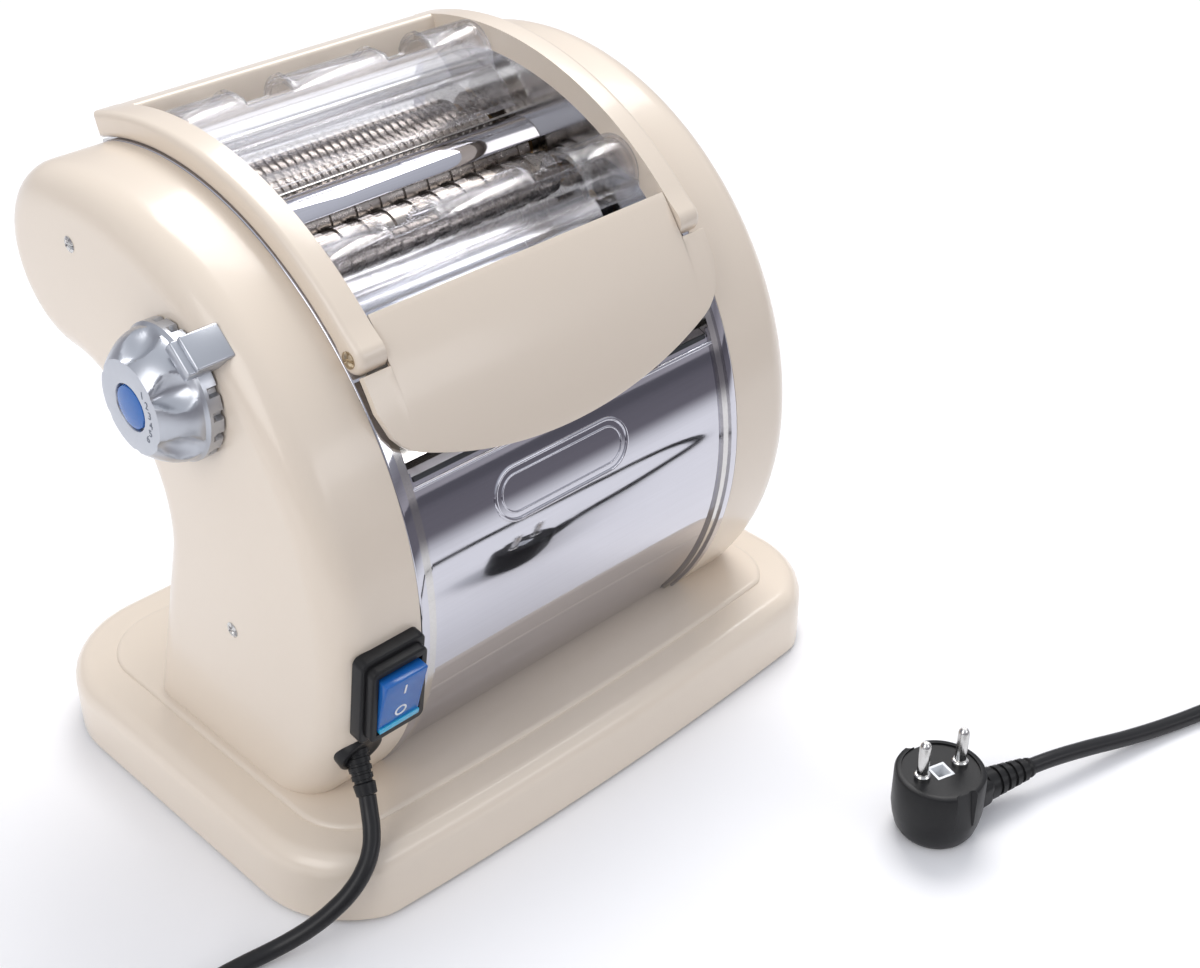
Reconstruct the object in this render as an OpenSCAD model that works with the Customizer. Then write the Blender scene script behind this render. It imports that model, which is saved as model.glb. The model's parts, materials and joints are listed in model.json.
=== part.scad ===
// Electric countertop pasta machine: a motor in the body drives two sheet rollers,
// a pair of wide cutters and a pair of fine cutters under a lifting apron and guards.
// X runs along the rollers (dial at -X), Y from the front (-Y) to the back, Z up.

/* [Base] */
// Width of the base along X
base_w = 300; // [296:1:310]
// Depth of the base along Y, at the middle of its bowed front
base_d = 220; // [218:1:226]
// Height of the base's top face above the table
base_top = 32; // [31:0.5:33]
// Corner radius of the base
base_r = 48; // [44:1:52]

/* [Body] */
// Radius of the round front, about the body axis
body_r = 142; // [141:0.5:143]
// Height of the body axis above the table
axis_z = 124; // [123.5:0.5:124.5]
// Y position of the body axis
axis_y = 48; // [47:0.5:49]
// Half the distance over the two side plates
plate_x = 84; // [83.8:0.1:84.2]
// Distance of the housings' end faces from the middle
end_x = 127; // [126:0.5:128]
// Wall of the moulded housings
wall = 3; // [2.5:0.25:3.5]

/* [Rollers] */
// Working length of the rollers
roll_l = 150; // [144:1:151]
// Radius of the two smooth sheet rollers
sheet_r = 13; // [12.6:0.1:13.1]
// Gap between the sheet rollers at the widest setting
gap_max = 2.2; // [2.1:0.1:2.6]
// Radius of the cutter discs
disc_r = 10.4; // [10.3:0.05:10.45]
// Strip width of the wide cutter
wide_strip = 6.25; // [5.5:0.25:6.5]
// Strip width of the fine cutter
fine_strip = 2; // [2:0.5:3]

/* [Thickness dial] */
// Radius of the dial's toothed rim
dial_r = 27; // [25:0.5:27]
// Length of the dial in front of the housing
dial_l = 21.5; // [20:0.5:22.5]
// Throw of the cam pin that shifts the rear sheet roller
cam_throw = 1.07; // [0.9:0.01:1.1]

/* [Hidden] */
$fn = 96;

clear = 0.05;          // radial running clearance of every shaft
plate_t = 4;
trim_w = 4;
in_x = plate_x + trim_w;            // where the housings begin
plate_in = plate_x - plate_t;
journal_r = 4;
bush_r = 6.5;
head_c = [21.6, 100];    // housing head, from the body axis
head_r = 40;
neck_c = [23, 10];     // hollow of the neck, from the body axis
neck_r = 50;
foot_y = 2.5;          // back of the housing at the base
rail_in = 76;
rail_out = 88;
frame_r = 153;
rail_gap = 0.4;        // the frame stands this far off the plates

// Shaft positions, [y, z]
front_roll = [-42, 207];
rear_roll = [front_roll[0] + 2 * sheet_r + gap_max, 207];
wide_front = [10, 221];
pair_d = 2 * disc_r - 0.5;          // the discs reach 0.5 mm past each other
wide_rear = wide_front + pair_d * [cos(15), sin(15)];
fine_front = [53, 228];
fine_rear = fine_front + pair_d * [cos(-5), sin(-5)];
apron_pin = [-62.5, 221.7];
front_guard_c = [-32, 237];
rear_guard_c = [56, 263];
guard_r = 14;

// Gear train: pinion and idler drive the front sheet roller and the front wide cutter
gear_m = 1.4;
pinion_n = 14;
driven_n = 16;
idler_n = 40;
pair_n = 12;
idler_d = gear_m * (driven_n + idler_n) / 2;
span = wide_front - front_roll;
span_l = norm(span);
idler_drop = sqrt(idler_d * idler_d - span_l * span_l / 4);
idler_c = (front_roll + wide_front) / 2 + idler_drop * [span[1], -span[0]] / span_l;
motor_c = idler_c - [0, gear_m * (pinion_n + idler_n) / 2];
motor_r = 29;
train_x = [99, 106];   // layer of the idler train
pair_x = [88.6, 96.6]; // layer of the gears that join each pair of rollers
link_x = [109, 115];   // layer that passes the drive on to the fine cutters

cream = "antiquewhite";

// ---------- helpers ----------
module along_x(x0, x1) { translate([x0, 0, 0]) rotate([90, 0, 90]) linear_extrude(x1 - x0) children(); }
module rod_x(p, x0, x1, r) { translate([x0, p[0], p[1]]) rotate([0, 90, 0]) cylinder(h = x1 - x0, r = r); }
module ring_x(p, x0, x1, r, bore) {
    difference() { rod_x(p, x0, x1, r); rod_x(p, x0 - 1, x1 + 1, bore); }
}
module at_axis() { translate([axis_y, axis_z]) children(); }
module on_front(x, angle) { translate([x, axis_y, axis_z]) rotate([-angle, 0, 0]) children(); }
module mirrored() { children(); mirror([1, 0, 0]) children(); }
function polar(r, a) = [r * cos(a), r * sin(a)];

// ---------- outlines in the YZ plane ----------
// Comma-shaped end housing, drawn smaller by inset all round but level with the base
module housing_2d(inset) {
    low = base_top - axis_z;
    at_axis() difference() {
        union() {
            translate(head_c) circle(head_r - inset);
            intersection() {
                circle(body_r - inset);
                polygon([[0, 0], [33, 150], [-170, 150], [-170, low], [foot_y - inset, low],
                    [-24.7 - inset, -4.9]]);
            }
        }
        translate(neck_c) circle(neck_r + inset);
    }
}

module plate_2d() {
    low = base_top - axis_z;
    at_axis() intersection() {
        circle(body_r - 0.6);
        polygon([[48, 160], [48, 72], [14, 10], [14, low], [-170, low], [-170, 160]]);
    }
}

module arc_band(r_out, r_in, a0, a1) {
    // band about the body axis; angles are counted from the front, upwards
    at_axis() intersection() {
        difference() { circle(r_out); circle(r_in); }
        polygon([[0, 0], polar(-300, -a0), polar(-300, -(a0 + a1) / 2), polar(-300, -a1)]);
    }
}

// ---------- base ----------
module base_2d(inset) {
    w = base_w / 2 - inset;
    d = base_d / 2 - inset;
    r = base_r - inset;
    intersection() {
        union() {
            for (sx = [-1, 1], sy = [-1, 1]) translate([sx * (w - r), sy * (d - r)]) circle(r);
            square([2 * w, 2 * (d - r)], center = true);
            square([2 * (w - r), 2 * d], center = true);
        }
        translate([0, 1800 - d]) circle(1800);
    }
}

module base() {
    steps = [[2, 22, 0], [22, 27, 1.5], [27, 30, 4], [30, base_top, 8]];
    color(cream) difference() {
        union() { for (s = steps) translate([0, 0, s[0]]) linear_extrude(s[1] - s[0]) base_2d(s[2]); }
        translate([0, 0, 1]) linear_extrude(base_top - 1 - wall) base_2d(8 + wall);
        for (p = foot_screws) translate([p[0], p[1], 20]) cylinder(h = 20, r = 2.2);
    }
}

foot_screws = [[-100, -30], [100, -30], [-100, 25], [100, 25]];
feet_at = [[-105, -65], [105, -65], [-105, 65], [105, 65]];

module base_plate() {
    color("dimgray") difference() {
        translate([0, 0, 2.5]) linear_extrude(2) base_2d(8 + wall + 0.2);
        for (p = feet_at) translate([p[0], p[1], 0]) cylinder(h = 8, r = 6);
        for (x = [-60:20:60], y = [-40, 40]) translate([x - 6, y - 2, 0]) cube([12, 4, 8]);
    }
}

module feet() {
    color("black") for (p = feet_at) translate([p[0], p[1], 0]) {
        cylinder(h = 2.5, r = 11);
        translate([0, 0, 2.5]) cylinder(h = 2, r = 6);
    }
}

// ---------- housings ----------
module housing_block() {
    steps = [[in_x, end_x - 15, 0], [end_x - 15, end_x - 10, 1.2], [end_x - 10, end_x - 6, 3.6],
        [end_x - 6, end_x - 3, 7], [end_x - 3, end_x, 12]];
    union() { for (s = steps) along_x(s[0], s[1]) housing_2d(s[2]); }
}

module housing_shell() {
    difference() {
        housing_block();
        along_x(in_x - 1, end_x - 15) housing_2d(wall);
        along_x(end_x - 16, end_x - 7) housing_2d(wall + 3);
        along_x(end_x - 8, end_x - wall) housing_2d(wall + 11);
        for (p = screw_at) rod_x(p, end_x - 8, end_x + 1, 2.2);
        for (p = screw_at) rod_x(p, end_x - 1.2, end_x + 1, 3.6);
    }
}

screw_at = [[54, 240], [-25, 102]];

module left_housing() {
    color(cream) difference() {
        mirror([1, 0, 0]) housing_shell();
        rod_x(rear_roll, -end_x - 1, -end_x + 8, 8);
        on_front(switch_x, switch_a) {
            translate([-13.2, -160, -18.7]) cube([26.4, 40, 37.4]);
            translate([-15.1, -160, -21.1]) cube([30.2, 160 - body_r + 1.8, 42.2]);
        }
        on_front(gland_at[0], gland_a) rotate([90, 0, 0]) cylinder(h = 200, r = gland_r + 0.1);
    }
}

module right_housing() { color(cream) housing_shell(); }

module housing_screws() {
    color("silver") mirrored() for (p = screw_at) {
        rod_x(p, end_x - 11.6, end_x - 1.2, 1.9);
        rod_x(p, end_x - 1.2, end_x - 0.1, 3.4);
    }
}

// ---------- side plates and panels ----------
module side_plate() {
    y = rear_roll[0];
    difference() {
        along_x(plate_in, plate_x) plate_2d();
        for (p = fixed_shafts) rod_x(p, plate_in - 1, plate_x + 1, bush_r);
        translate([plate_in - 1, y - 10.3 - slide_max, rear_roll[1] - 9.1])
            cube([plate_t + 2, 20.6 + slide_max, 18.2]);
        for (p = rod_at) rod_x(p, plate_in - 1, plate_x + 1, 3.1);
    }
}

fixed_shafts = [front_roll, wide_front, wide_rear, fine_front, fine_rear];
slide_max = 2.1;
rod_at = [[-64, 62], [48, 60], [88, 240]];

module left_side_plate() {
    color("gainsboro") mirror([1, 0, 0]) side_plate();
}

module right_side_plate() {
    color("gainsboro") difference() {
        side_plate();
        rod_x(motor_c, plate_in - 1, plate_x + 1, 12);
        rod_x(idler_c, plate_in - 1, plate_x + 1, 4);
        for (p = motor_holes) rod_x(p, plate_in - 1, plate_x + 1, 2.1);
    }
}

module trim() {
    color("silver") along_x(plate_x, in_x) difference() {
        housing_2d(-0.3);
        housing_2d(2.4);
        translate([-100, base_top - 10]) square([300, 10]);
    }
}

module left_trim() { mirror([1, 0, 0]) trim(); }
module right_trim() { trim(); }

module tie_rods() {
    color("silver") for (p = rod_at) {
        rod_x(p, -plate_in, plate_in, 5);
        mirrored() rod_x(p, plate_in, plate_x + 2, 3);
    }
}

panel_r = 140;
panel_low = -asin((axis_z - base_top) / panel_r);
panel_top = 21;

module front_panel() {
    lip = [axis_y, axis_z] + [-panel_r * cos(panel_top), panel_r * sin(panel_top)];
    color("gainsboro") along_x(-plate_in, plate_in) union() {
        arc_band(panel_r, panel_r - 1.5, panel_low + 0.4, panel_top);
        translate(lip) rotate(-12) translate([0.2, -1.5]) square([6, 1.5]);
    }
}

module rear_panel() {
    color("gainsboro") along_x(-plate_in, plate_in)
        polygon([[60.5, 32], [62, 32], [62, 133.6], [85, 161], [83.8, 162], [60.5, 134.2]]);
}

module front_chute() {
    color("gainsboro") along_x(-plate_in, plate_in)
        polygon([[-4, 194], [-4, 192.4], [-70, 173.4], [-75.5, 173.4], [-75.5, 175], [-70.2, 175]]);
}

module rear_chute() {
    color("gainsboro") along_x(-plate_in, plate_in)
        polygon([[3, 203], [3, 201.4], [88, 166.4], [88, 168]]);
}

// ---------- top frame, apron and guards ----------
rail_end = 6.6;

module rail_2d() {
    difference() {
        union() {
            arc_band(frame_r, body_r + rail_gap, 42.5, 108);
            translate(apron_pin) circle(rail_end);
        }
        at_axis() circle(body_r + rail_gap);
    }
}

module top_frame() {
    color(cream) difference() {
        union() {
            mirrored() along_x(rail_in, rail_out) rail_2d();
            along_x(-rail_in, rail_in) arc_band(frame_r, body_r - 6, 103, 108);
            // tongues that drop inside the side plates and are screwed to them
            mirrored() along_x(rail_in, plate_in - 0.2) arc_band(frame_r - 1, body_r - 8, 48, 104.5);
        }
        rod_x(apron_pin, -100, 100, 2);
        for (p = [front_guard_c, rear_guard_c]) {
            rod_x(p, -80.2, 80.2, 3.05);
        }
    }
}

module pivot_screws() {
    color("goldenrod") mirrored() {
        rod_x(apron_pin, 70.5, rail_out, 2);
        rod_x(apron_pin, rail_out, rail_out + 1, 3.4);
    }
}

apron_c = [53.1, 141.55];   // centre of the apron's own curve
apron_r = 145;

module apron_2d(a0, a1, thick) {
    translate(apron_c) intersection() {
        difference() { circle(apron_r); circle(apron_r - thick); }
        polygon([[0, 0], polar(-300, -a0), polar(-300, -a1)]);
    }
}

module apron() {
    edge_r = 190;
    color(cream) difference() {
        union() {
            along_x(-rail_in + 0.4, rail_in - 0.4) apron_2d(8, 39.5, 3);
            difference() {
                along_x(-rail_out, rail_out) apron_2d(8, 36, 3);
                mirrored() rod_x(apron_pin, rail_in - 0.4, 100, rail_end + 0.5);
            }
            // ears that hang on the pivot screws
            mirrored() along_x(rail_in - 5.4, rail_in - 0.4) difference() {
                translate(apron_pin) circle(6);
                translate(apron_c) difference() { circle(300); circle(apron_r - 0.5); }
            }
        }
        rod_x(apron_pin, -90, 90, 2 + clear);
        // smile-shaped lower edge
        difference() {
            translate([-150, -150, 100]) cube([300, 100, 104]);
            translate([0, -40, 172 + edge_r]) rotate([90, 0, 0]) cylinder(h = 120, r = edge_r);
        }
    }
}

guard_t = 2.2;
guard_x = rail_in - 0.6;

// Half tube, open below, with two windows and end pins that clip into the rails
module guard_tube(c) {
    difference() {
        rod_x(c, -guard_x, guard_x, guard_r);
        rod_x(c, -guard_x + 2.5, guard_x - 2.5, guard_r - guard_t);
        translate([-100, c[0] - 20, c[1] - 40]) cube([200, 40, 36]);
        mirrored() translate([24, c[0] - 8, c[1] + 3]) cube([22, 24, 20]);
    }
    mirrored() rod_x(c, guard_x - 2.5, 79.6, 3);
}

module front_guard() {
    c = front_guard_c;
    color("lightcyan", 0.4) union() {
        guard_tube(c);
        translate([-guard_x, c[0] - guard_r, c[1] - 8]) cube([2 * guard_x, guard_t, 6]);
    }
}

module rear_guard() {
    c = rear_guard_c;
    color("lightcyan", 0.4) union() {
        guard_tube(c);
        along_x(-guard_x, guard_x) polygon([c + [-13.9, -2], c + [-11.9, -2], [30.5, 247],
            [29, 246], [29, 248.6]]);
    }
}

// ---------- rollers and cutters ----------
module shaft(p, right_end) {
    rod_x(p, -plate_x - 4, -roll_l / 2, journal_r);
    rod_x(p, roll_l / 2, right_end, journal_r);
}

module front_roller() {
    color("silver") union() {
        rod_x(front_roll, -roll_l / 2, roll_l / 2, sheet_r);
        shaft(front_roll, train_x[1]);
    }
}

module rear_roller() {
    color("silver") union() {
        rod_x(rear_roll, -roll_l / 2, roll_l / 2, sheet_r);
        rod_x(rear_roll, -plate_x - 4, -roll_l / 2, journal_r);
        rod_x(rear_roll, roll_l / 2, pair_x[1], journal_r);
    }
}

// Discs of one cutter: first = 0 or 1 picks the even or odd strips
module cutter(p, strip, first, right_end) {
    count = floor(roll_l / strip);
    x0 = -count * strip / 2;
    groove_r = disc_r - 0.9;
    slack = 0.08;
    translate([0, p[0], p[1]]) rotate([0, 90, 0]) rotate_extrude() polygon(concat(
        [[0, x0]], [[groove_r, x0]],
        [for (i = [first:2:count - 1]) for (q = [[groove_r, slack], [disc_r, slack],
            [disc_r, strip - slack], [groove_r, strip - slack]]) [q[0], x0 + i * strip + q[1]]],
        [[groove_r, -x0]], [[0, -x0]]));
    rod_x(p, -plate_x - 4, x0, journal_r);
    rod_x(p, -x0, right_end, journal_r);
}

module wide_cutter_front() { color("silver") union() cutter(wide_front, wide_strip, 0, train_x[1]); }
module wide_cutter_rear() { color("silver") union() cutter(wide_rear, wide_strip, 1, link_x[1]); }
module fine_cutter_front() { color("silver") union() cutter(fine_front, fine_strip, 0, link_x[1]); }
module fine_cutter_rear() { color("silver") union() cutter(fine_rear, fine_strip, 1, pair_x[1]); }

module cutter_cover() {
    color("gainsboro") along_x(-plate_in, plate_in) translate([29.2, 226]) intersection() {
        difference() { circle(13.4); circle(12); }
        polygon([[0, 0], polar(40, 52), polar(40, 100), polar(40, 146)]);
    }
}

module fine_comb() {
    color("silver") along_x(-plate_in, plate_in) translate([40.2, 232]) square([2, 5]);
}

module bushes() {
    color("goldenrod") mirrored() for (p = fixed_shafts)
        ring_x(p, plate_in, plate_x + 1, bush_r, journal_r + clear);
}

// ---------- gap adjustment ----------
pin_r = 3;             // cam pin
cam_play = 0.35;       // the pin's play in the yoke

module roller_blocks() {
    y = rear_roll[0];
    z = rear_roll[1];
    color("gray") {
        mirrored() difference() {
            translate([plate_in - 1, y - 10, z - 9]) cube([plate_t + 2, 20, 18]);
            rod_x(rear_roll, 0, 100, bush_r);
        }
        // yoke on the dial side, with a slot for the cam pin
        difference() {
            translate([-plate_x - 12, y - 10, z - 9]) cube([11, 20, 18]);
            translate([-plate_x - 8, y - 7, z - 10]) cube([8, 14, 20]);
            translate([-plate_x - 13, y + cam_throw - pin_r - cam_play, z - 5])
                cube([6, 2 * (pin_r + cam_play), 10]);
        }
    }
}

module block_bushes() {
    color("goldenrod") mirrored() ring_x(rear_roll, plate_in - 1, plate_x + 1, bush_r, journal_r + clear);
}

dial_back = -end_x - 0.5;

module dial_shaft() {
    cam_x = -plate_x - 13;
    color("silver") union() {
        rod_x(rear_roll, dial_back - 12.5, cam_x, 5);
        rod_x(rear_roll, cam_x - 4, cam_x, 9);
        rod_x(rear_roll + [cam_throw, 0], cam_x, cam_x + 4.4, pin_r);
    }
}

module dial_bush() {
    color("goldenrod") difference() {
        union() {
            rod_x(rear_roll, -end_x + 0.2, -end_x + wall, 8);
            rod_x(rear_roll, -end_x + wall, -end_x + 9, 11);
        }
        rod_x(rear_roll, -200, 0, 5 + clear);
    }
}

module dial_knob() {
    front = dial_back - dial_l;
    tooth = 360 / 18;
    color("silver") difference() {
        union() {
            rod_x(rear_roll, dial_back - 7, dial_back, dial_r);
            rod_x(rear_roll, dial_back - 12, dial_back - 7, 25.6);
            rod_x(rear_roll, dial_back - 17, dial_back - 12, 23);
            rod_x(rear_roll, front, dial_back - 17, 19);
        }
        // notches of the toothed rim
        for (i = [0:17]) translate([dial_back, rear_roll[0], rear_roll[1]]) rotate([i * tooth, 0, 0])
            translate([-4, -1.6, dial_r - 2.5]) cube([5, 3.2, 5]);
        // finger scoops
        for (i = [0:5]) translate([dial_back - 14, rear_roll[0], rear_roll[1]]) rotate([i * 60 + 30, 0, 0])
            translate([-20, 0, 30]) rotate([0, 90, 0]) cylinder(h = 22, r = 9);
        rod_x(rear_roll, dial_back - 17.5, 0, 5 + clear);
        rod_x(rear_roll, front - 1, front + 2, 8.6);
        // recess for the return spring
        difference() { rod_x(rear_roll, dial_back - 12, 0, 10); rod_x(rear_roll, dial_back - 30, 1, 6); }
    }
}

module dial_insert() {
    front = dial_back - dial_l;
    color("royalblue") rod_x(rear_roll, front - 0.5, front + 2, 8.6);
}

module dial_spring() {
    color("silver") ring_x(rear_roll, dial_back - 11.6, -end_x, 9.2, 7.2);
}

// Pointer for the dial's figures, fitted to the rounded edge of the housing
module index_block() {
    lean = 42;             // from straight up, towards the front
    color("silver") difference() {
        translate([-end_x, rear_roll[0], rear_roll[1]]) rotate([lean, 0, 0])
            translate([-14, -8, dial_r - 8]) cube([24, 16, 17]);
        rod_x(rear_roll, -end_x - 40, 0, dial_r + 0.6);
        mirror([1, 0, 0]) housing_block();
    }
}

// ---------- gears ----------
// tooth 0 points along angle (in the YZ plane, from +Y towards +Z)
module gear(p, xs, n, m, angle, bore, add, ded) {
    pr = m * n / 2;
    root = pr - ded;
    tip = pr + add;
    half = 90 / n * 0.84;
    color("tan") difference() {
        along_x(xs[0], xs[1]) translate(p) rotate(angle) union() {
            circle(root);
            for (i = [0:n - 1]) rotate(i * 360 / n) polygon([
                polar(root - 0.5, -half * 1.5), polar(pr, -half), polar(tip, -half * 0.45),
                polar(tip, half * 0.45), polar(pr, half), polar(root - 0.5, half * 1.5)]);
        }
        if (bore > 0) rod_x(p, xs[0] - 1, xs[1] + 1, bore);
    }
}

function heading(a, b) = atan2(b[1] - a[1], b[0] - a[0]);
function meshed(dir, angle, n1, n2) = dir + 180 + 180 / n2 - (angle - dir) * n1 / n2;

idler_angle = 90;
front_gear_angle = meshed(heading(idler_c, front_roll), idler_angle, idler_n, driven_n);
wide_gear_angle = meshed(heading(idler_c, wide_front), idler_angle, idler_n, driven_n);
pinion_angle = meshed(-90, idler_angle, idler_n, pinion_n);
sheet_pair_m = 2 * 13.1 / pair_n;
cutter_pair_m = pair_d / pair_n;
link_m = norm(fine_front - wide_rear) / pair_n;

module front_roller_gear() {
    color("tan") union() {
        gear(front_roll, train_x, driven_n, gear_m, front_gear_angle, journal_r, 1.15, 1.7);
        gear(front_roll, pair_x, pair_n, sheet_pair_m, 0, journal_r, 2.2, 2.7);
        ring_x(front_roll, pair_x[1], train_x[0], 7, journal_r);
    }
}

module rear_roller_gear() {
    gear(rear_roll, pair_x, pair_n, sheet_pair_m, 180 + 180 / pair_n, journal_r, 2.2, 2.7);
}

module wide_front_gear() {
    dir = heading(wide_front, wide_rear);
    color("tan") union() {
        gear(wide_front, train_x, driven_n, gear_m, wide_gear_angle, journal_r, 1.15, 1.7);
        gear(wide_front, pair_x, pair_n, cutter_pair_m, dir, journal_r, 1.4, 1.9);
        ring_x(wide_front, pair_x[1], train_x[0], 6, journal_r);
    }
}

module wide_rear_gear() {
    dir = heading(wide_front, wide_rear);
    out = heading(wide_rear, fine_front);
    color("tan") union() {
        gear(wide_rear, pair_x, pair_n, cutter_pair_m, dir + 180 + 180 / pair_n, journal_r, 1.4, 1.9);
        gear(wide_rear, link_x, pair_n, link_m, out, journal_r, 1.5, 2);
        ring_x(wide_rear, pair_x[1], link_x[0], 5.4, journal_r);
    }
}

module fine_front_gear() {
    dir = heading(fine_front, fine_rear);
    back = heading(fine_front, wide_rear);
    color("tan") union() {
        gear(fine_front, link_x, pair_n, link_m, back + 180 / pair_n, journal_r, 1.5, 2);
        gear(fine_front, pair_x, pair_n, cutter_pair_m, dir, journal_r, 1.4, 1.9);
        ring_x(fine_front, pair_x[1], link_x[0], 5.4, journal_r);
    }
}

module fine_rear_gear() {
    dir = heading(fine_front, fine_rear);
    gear(fine_rear, pair_x, pair_n, cutter_pair_m, dir + 180 + 180 / pair_n, journal_r, 1.4, 1.9);
}

module idler_gear() {
    gear(idler_c, train_x, idler_n, gear_m, idler_angle, 4 + clear, 1.15, 1.7);
}

module idler_stud() {
    color("silver") union() {
        rod_x(idler_c, plate_in, train_x[1] + 3, 4);
        rod_x(idler_c, plate_x, train_x[0] - 0.5, 5);
        rod_x(idler_c, train_x[1] + 0.5, train_x[1] + 2, 6.5);
    }
}

motor_holes = [for (a = [45, 135, 225, 315]) motor_c + polar(18, a)];

module motor() {
    color("slategray") difference() {
        union() {
            rod_x(motor_c, plate_in - 34, plate_in, motor_r - 3);
            rod_x(motor_c, plate_in - 110, plate_in - 34, motor_r);
            rod_x(motor_c, plate_in - 118, plate_in - 110, 10);
        }
        rod_x(motor_c, plate_in - 20, plate_in + 1, 5 + clear);
        for (p = motor_holes) rod_x(p, plate_in - 8, plate_in + 1, 1.9);
    }
}

module motor_screws() {
    color("silver") for (p = motor_holes) {
        rod_x(p, plate_in - 7.9, plate_x, 1.9);
        rod_x(p, plate_x, plate_x + 2.2, 3.4);
    }
}

module motor_pinion() {
    color("tan") union() {
        gear(motor_c, train_x, pinion_n, gear_m, pinion_angle, 0, 1.15, 1.7);
        rod_x(motor_c, plate_in - 19.9, train_x[0], 5);
    }
}

// ---------- switch ----------
switch_x = -105;
switch_a = -9;

rocker_y = -body_r - 4;    // the rocker's pin, in the switch's own frame
rocker_pin = 1.5;

module switch_frame() {
    color("black") on_front(switch_x, switch_a) difference() {
        union() {
            translate([-15, -body_r - 4, -21]) cube([30, 5.8, 42]);
            translate([-13, -body_r - 8, -18.5]) cube([26, 4, 37]);
            translate([-13, -body_r + 1.8, -18.5]) cube([26, 14, 37]);
        }
        translate([-10.3, -body_r - 9, -15.3]) cube([20.6, 17, 30.6]);
        rod_x([rocker_y, 0], -11.7, 11.7, rocker_pin + clear);
    }
}

module switch_rocker() {
    color("dodgerblue", 0.8) on_front(switch_x, switch_a) union() {
        difference() {
            along_x(-10, 10) polygon([[-body_r + 3, -13.6], [-body_r - 8.5, -13.6],
                [-body_r - 9.9, 0], [-body_r - 12.5, 13.6], [-body_r + 3, 13.6]]);
            translate([-8, -body_r - 1, -11]) cube([16, 6, 22]);
        }
        rod_x([rocker_y, 0], -11.5, 11.5, rocker_pin);
    }
}

// ---------- mains cord ----------
cord_d = 7;
gland_at = [-112, -77.5, 68];
gland_a = -atan2(axis_z - gland_at[2], axis_y - gland_at[1]);
gland_r = 10;
gland_tilt = 140;      // 0 points up, 90 to the front, 180 straight down
gland_turn = -20;      // outwards, towards the dial's end
gland_len = 21;

module gland_place() { translate(gland_at) rotate([0, 0, gland_turn]) rotate([gland_tilt, 0, 0]) children(); }

module cord_gland() {
    color("black") union() {
        on_front(gland_at[0], gland_a) rotate([90, 0, 0]) translate([0, 0, body_r - 5])
            cylinder(h = 6.3, r = gland_r);
        gland_place() cylinder(h = 13, r = 5.6);
        gland_place() cylinder(h = gland_len, r = 4.6);
    }
}

gland_end = gland_at + gland_len * [-sin(gland_tilt) * sin(-gland_turn),
    -sin(gland_tilt) * cos(gland_turn), cos(gland_tilt)];

coil_c = [-184.5, -196];
coil_in = 34.5;
coil_out = 48.5;
coil_h = 14;

route_a = [gland_end, [-118.5, -93.5, 47], [-121.5, -98, 41.6], [-125.5, -101.8, 36.8],
    [-131, -104.2, 31.8], [-138, -104.6, 26], [-145.5, -102.6, 20], [-153, -99, 14],
    [-161, -94.6, 8.8], [-170, -90.4, 5.2], [-180, -87.5, 3.7], [-191, -86.5, 3.5],
    [-204, -89, 3.5], [-216, -97, 3.5], [-224.5, -110, 3.5], [-228.5, -127, 3.5],
    [-229.5, -146, 3.5], [-229.5, -166, 3.5], [-229.5, -181, 3.5], [-229.5, -196, 3.5]];
route_b = [[-184.5, -241, 10.5], [-166, -241.6, 9.6], [-148, -243.6, 7], [-128, -248, 4.4],
    [-104, -256, 3.5], [-74, -270, 3.5], [-42, -287, 3.5], [-10, -306, 3.5], [20, -325, 3.5],
    [52, -343, 3.5], [86, -355, 3.5], [120, -359, 3.5], [155, -355, 3.5], [190, -346, 3.5],
    [222, -338, 3.5], [246, -332, 3.5], [262, -319, 3.5], [266, -302, 3.5], [259, -286, 3.5],
    [244, -276, 3.5], [222, -269, 3.5], [198, -261.6, 3.8], [174, -254.4, 6],
    [150, -247, 9.6], [131, -241.3, 11.7], [120.9, -238.3, 12]];

function unit(v) = v / norm(v);
function tangent(pts, i) = unit(pts[min(i + 1, len(pts) - 1)] - pts[max(i - 1, 0)]);
function side_of(t) = unit(cross(t, abs(t[2]) > 0.95 ? [0, 1, 0] : [0, 0, 1]));
function ring_at(pts, i, sides) = let (t = tangent(pts, i), s = side_of(t), u = cross(s, t))
    [for (k = [0:sides - 1]) pts[i] + cord_d / 2 * (cos(k * 360 / sides) * s + sin(k * 360 / sides) * u)];

module swept_cord(pts) {
    sides = 8;
    n = len(pts);
    polyhedron(
        points = [for (i = [0:n - 1]) for (p = ring_at(pts, i, sides)) [p[0], p[1], max(p[2], 0)]],
        faces = concat(
            [[for (k = [0:sides - 1]) k]],
            [for (i = [0:n - 2]) for (k = [0:sides - 1]) [i * sides + k, (i + 1) * sides + k,
                (i + 1) * sides + (k + 1) % sides, i * sides + (k + 1) % sides]],
            [[for (k = [sides - 1:-1:0]) (n - 1) * sides + k]]));
}

module power_cord() {
    color("black") { swept_cord(route_a); swept_cord(route_b); }
}

module cord_coil() {
    color("black") translate([coil_c[0], coil_c[1], 0]) rotate_extrude()
        translate([coil_in, 0]) square([coil_out - coil_in, coil_h]);
}

module cord_tie() {
    color("dimgray") translate([coil_c[0] + coil_in - 1, coil_c[1] - 4, 0]) difference() {
        cube([coil_out - coil_in + 2, 8, coil_h + 1]);
        translate([1, -1, -1]) cube([coil_out - coil_in, 10, coil_h + 1]);
    }
}

plug_at = [74, -224, 0];
plug_turn = -17;

module plug_place() { translate(plug_at) rotate([0, 0, plug_turn]) children(); }

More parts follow.
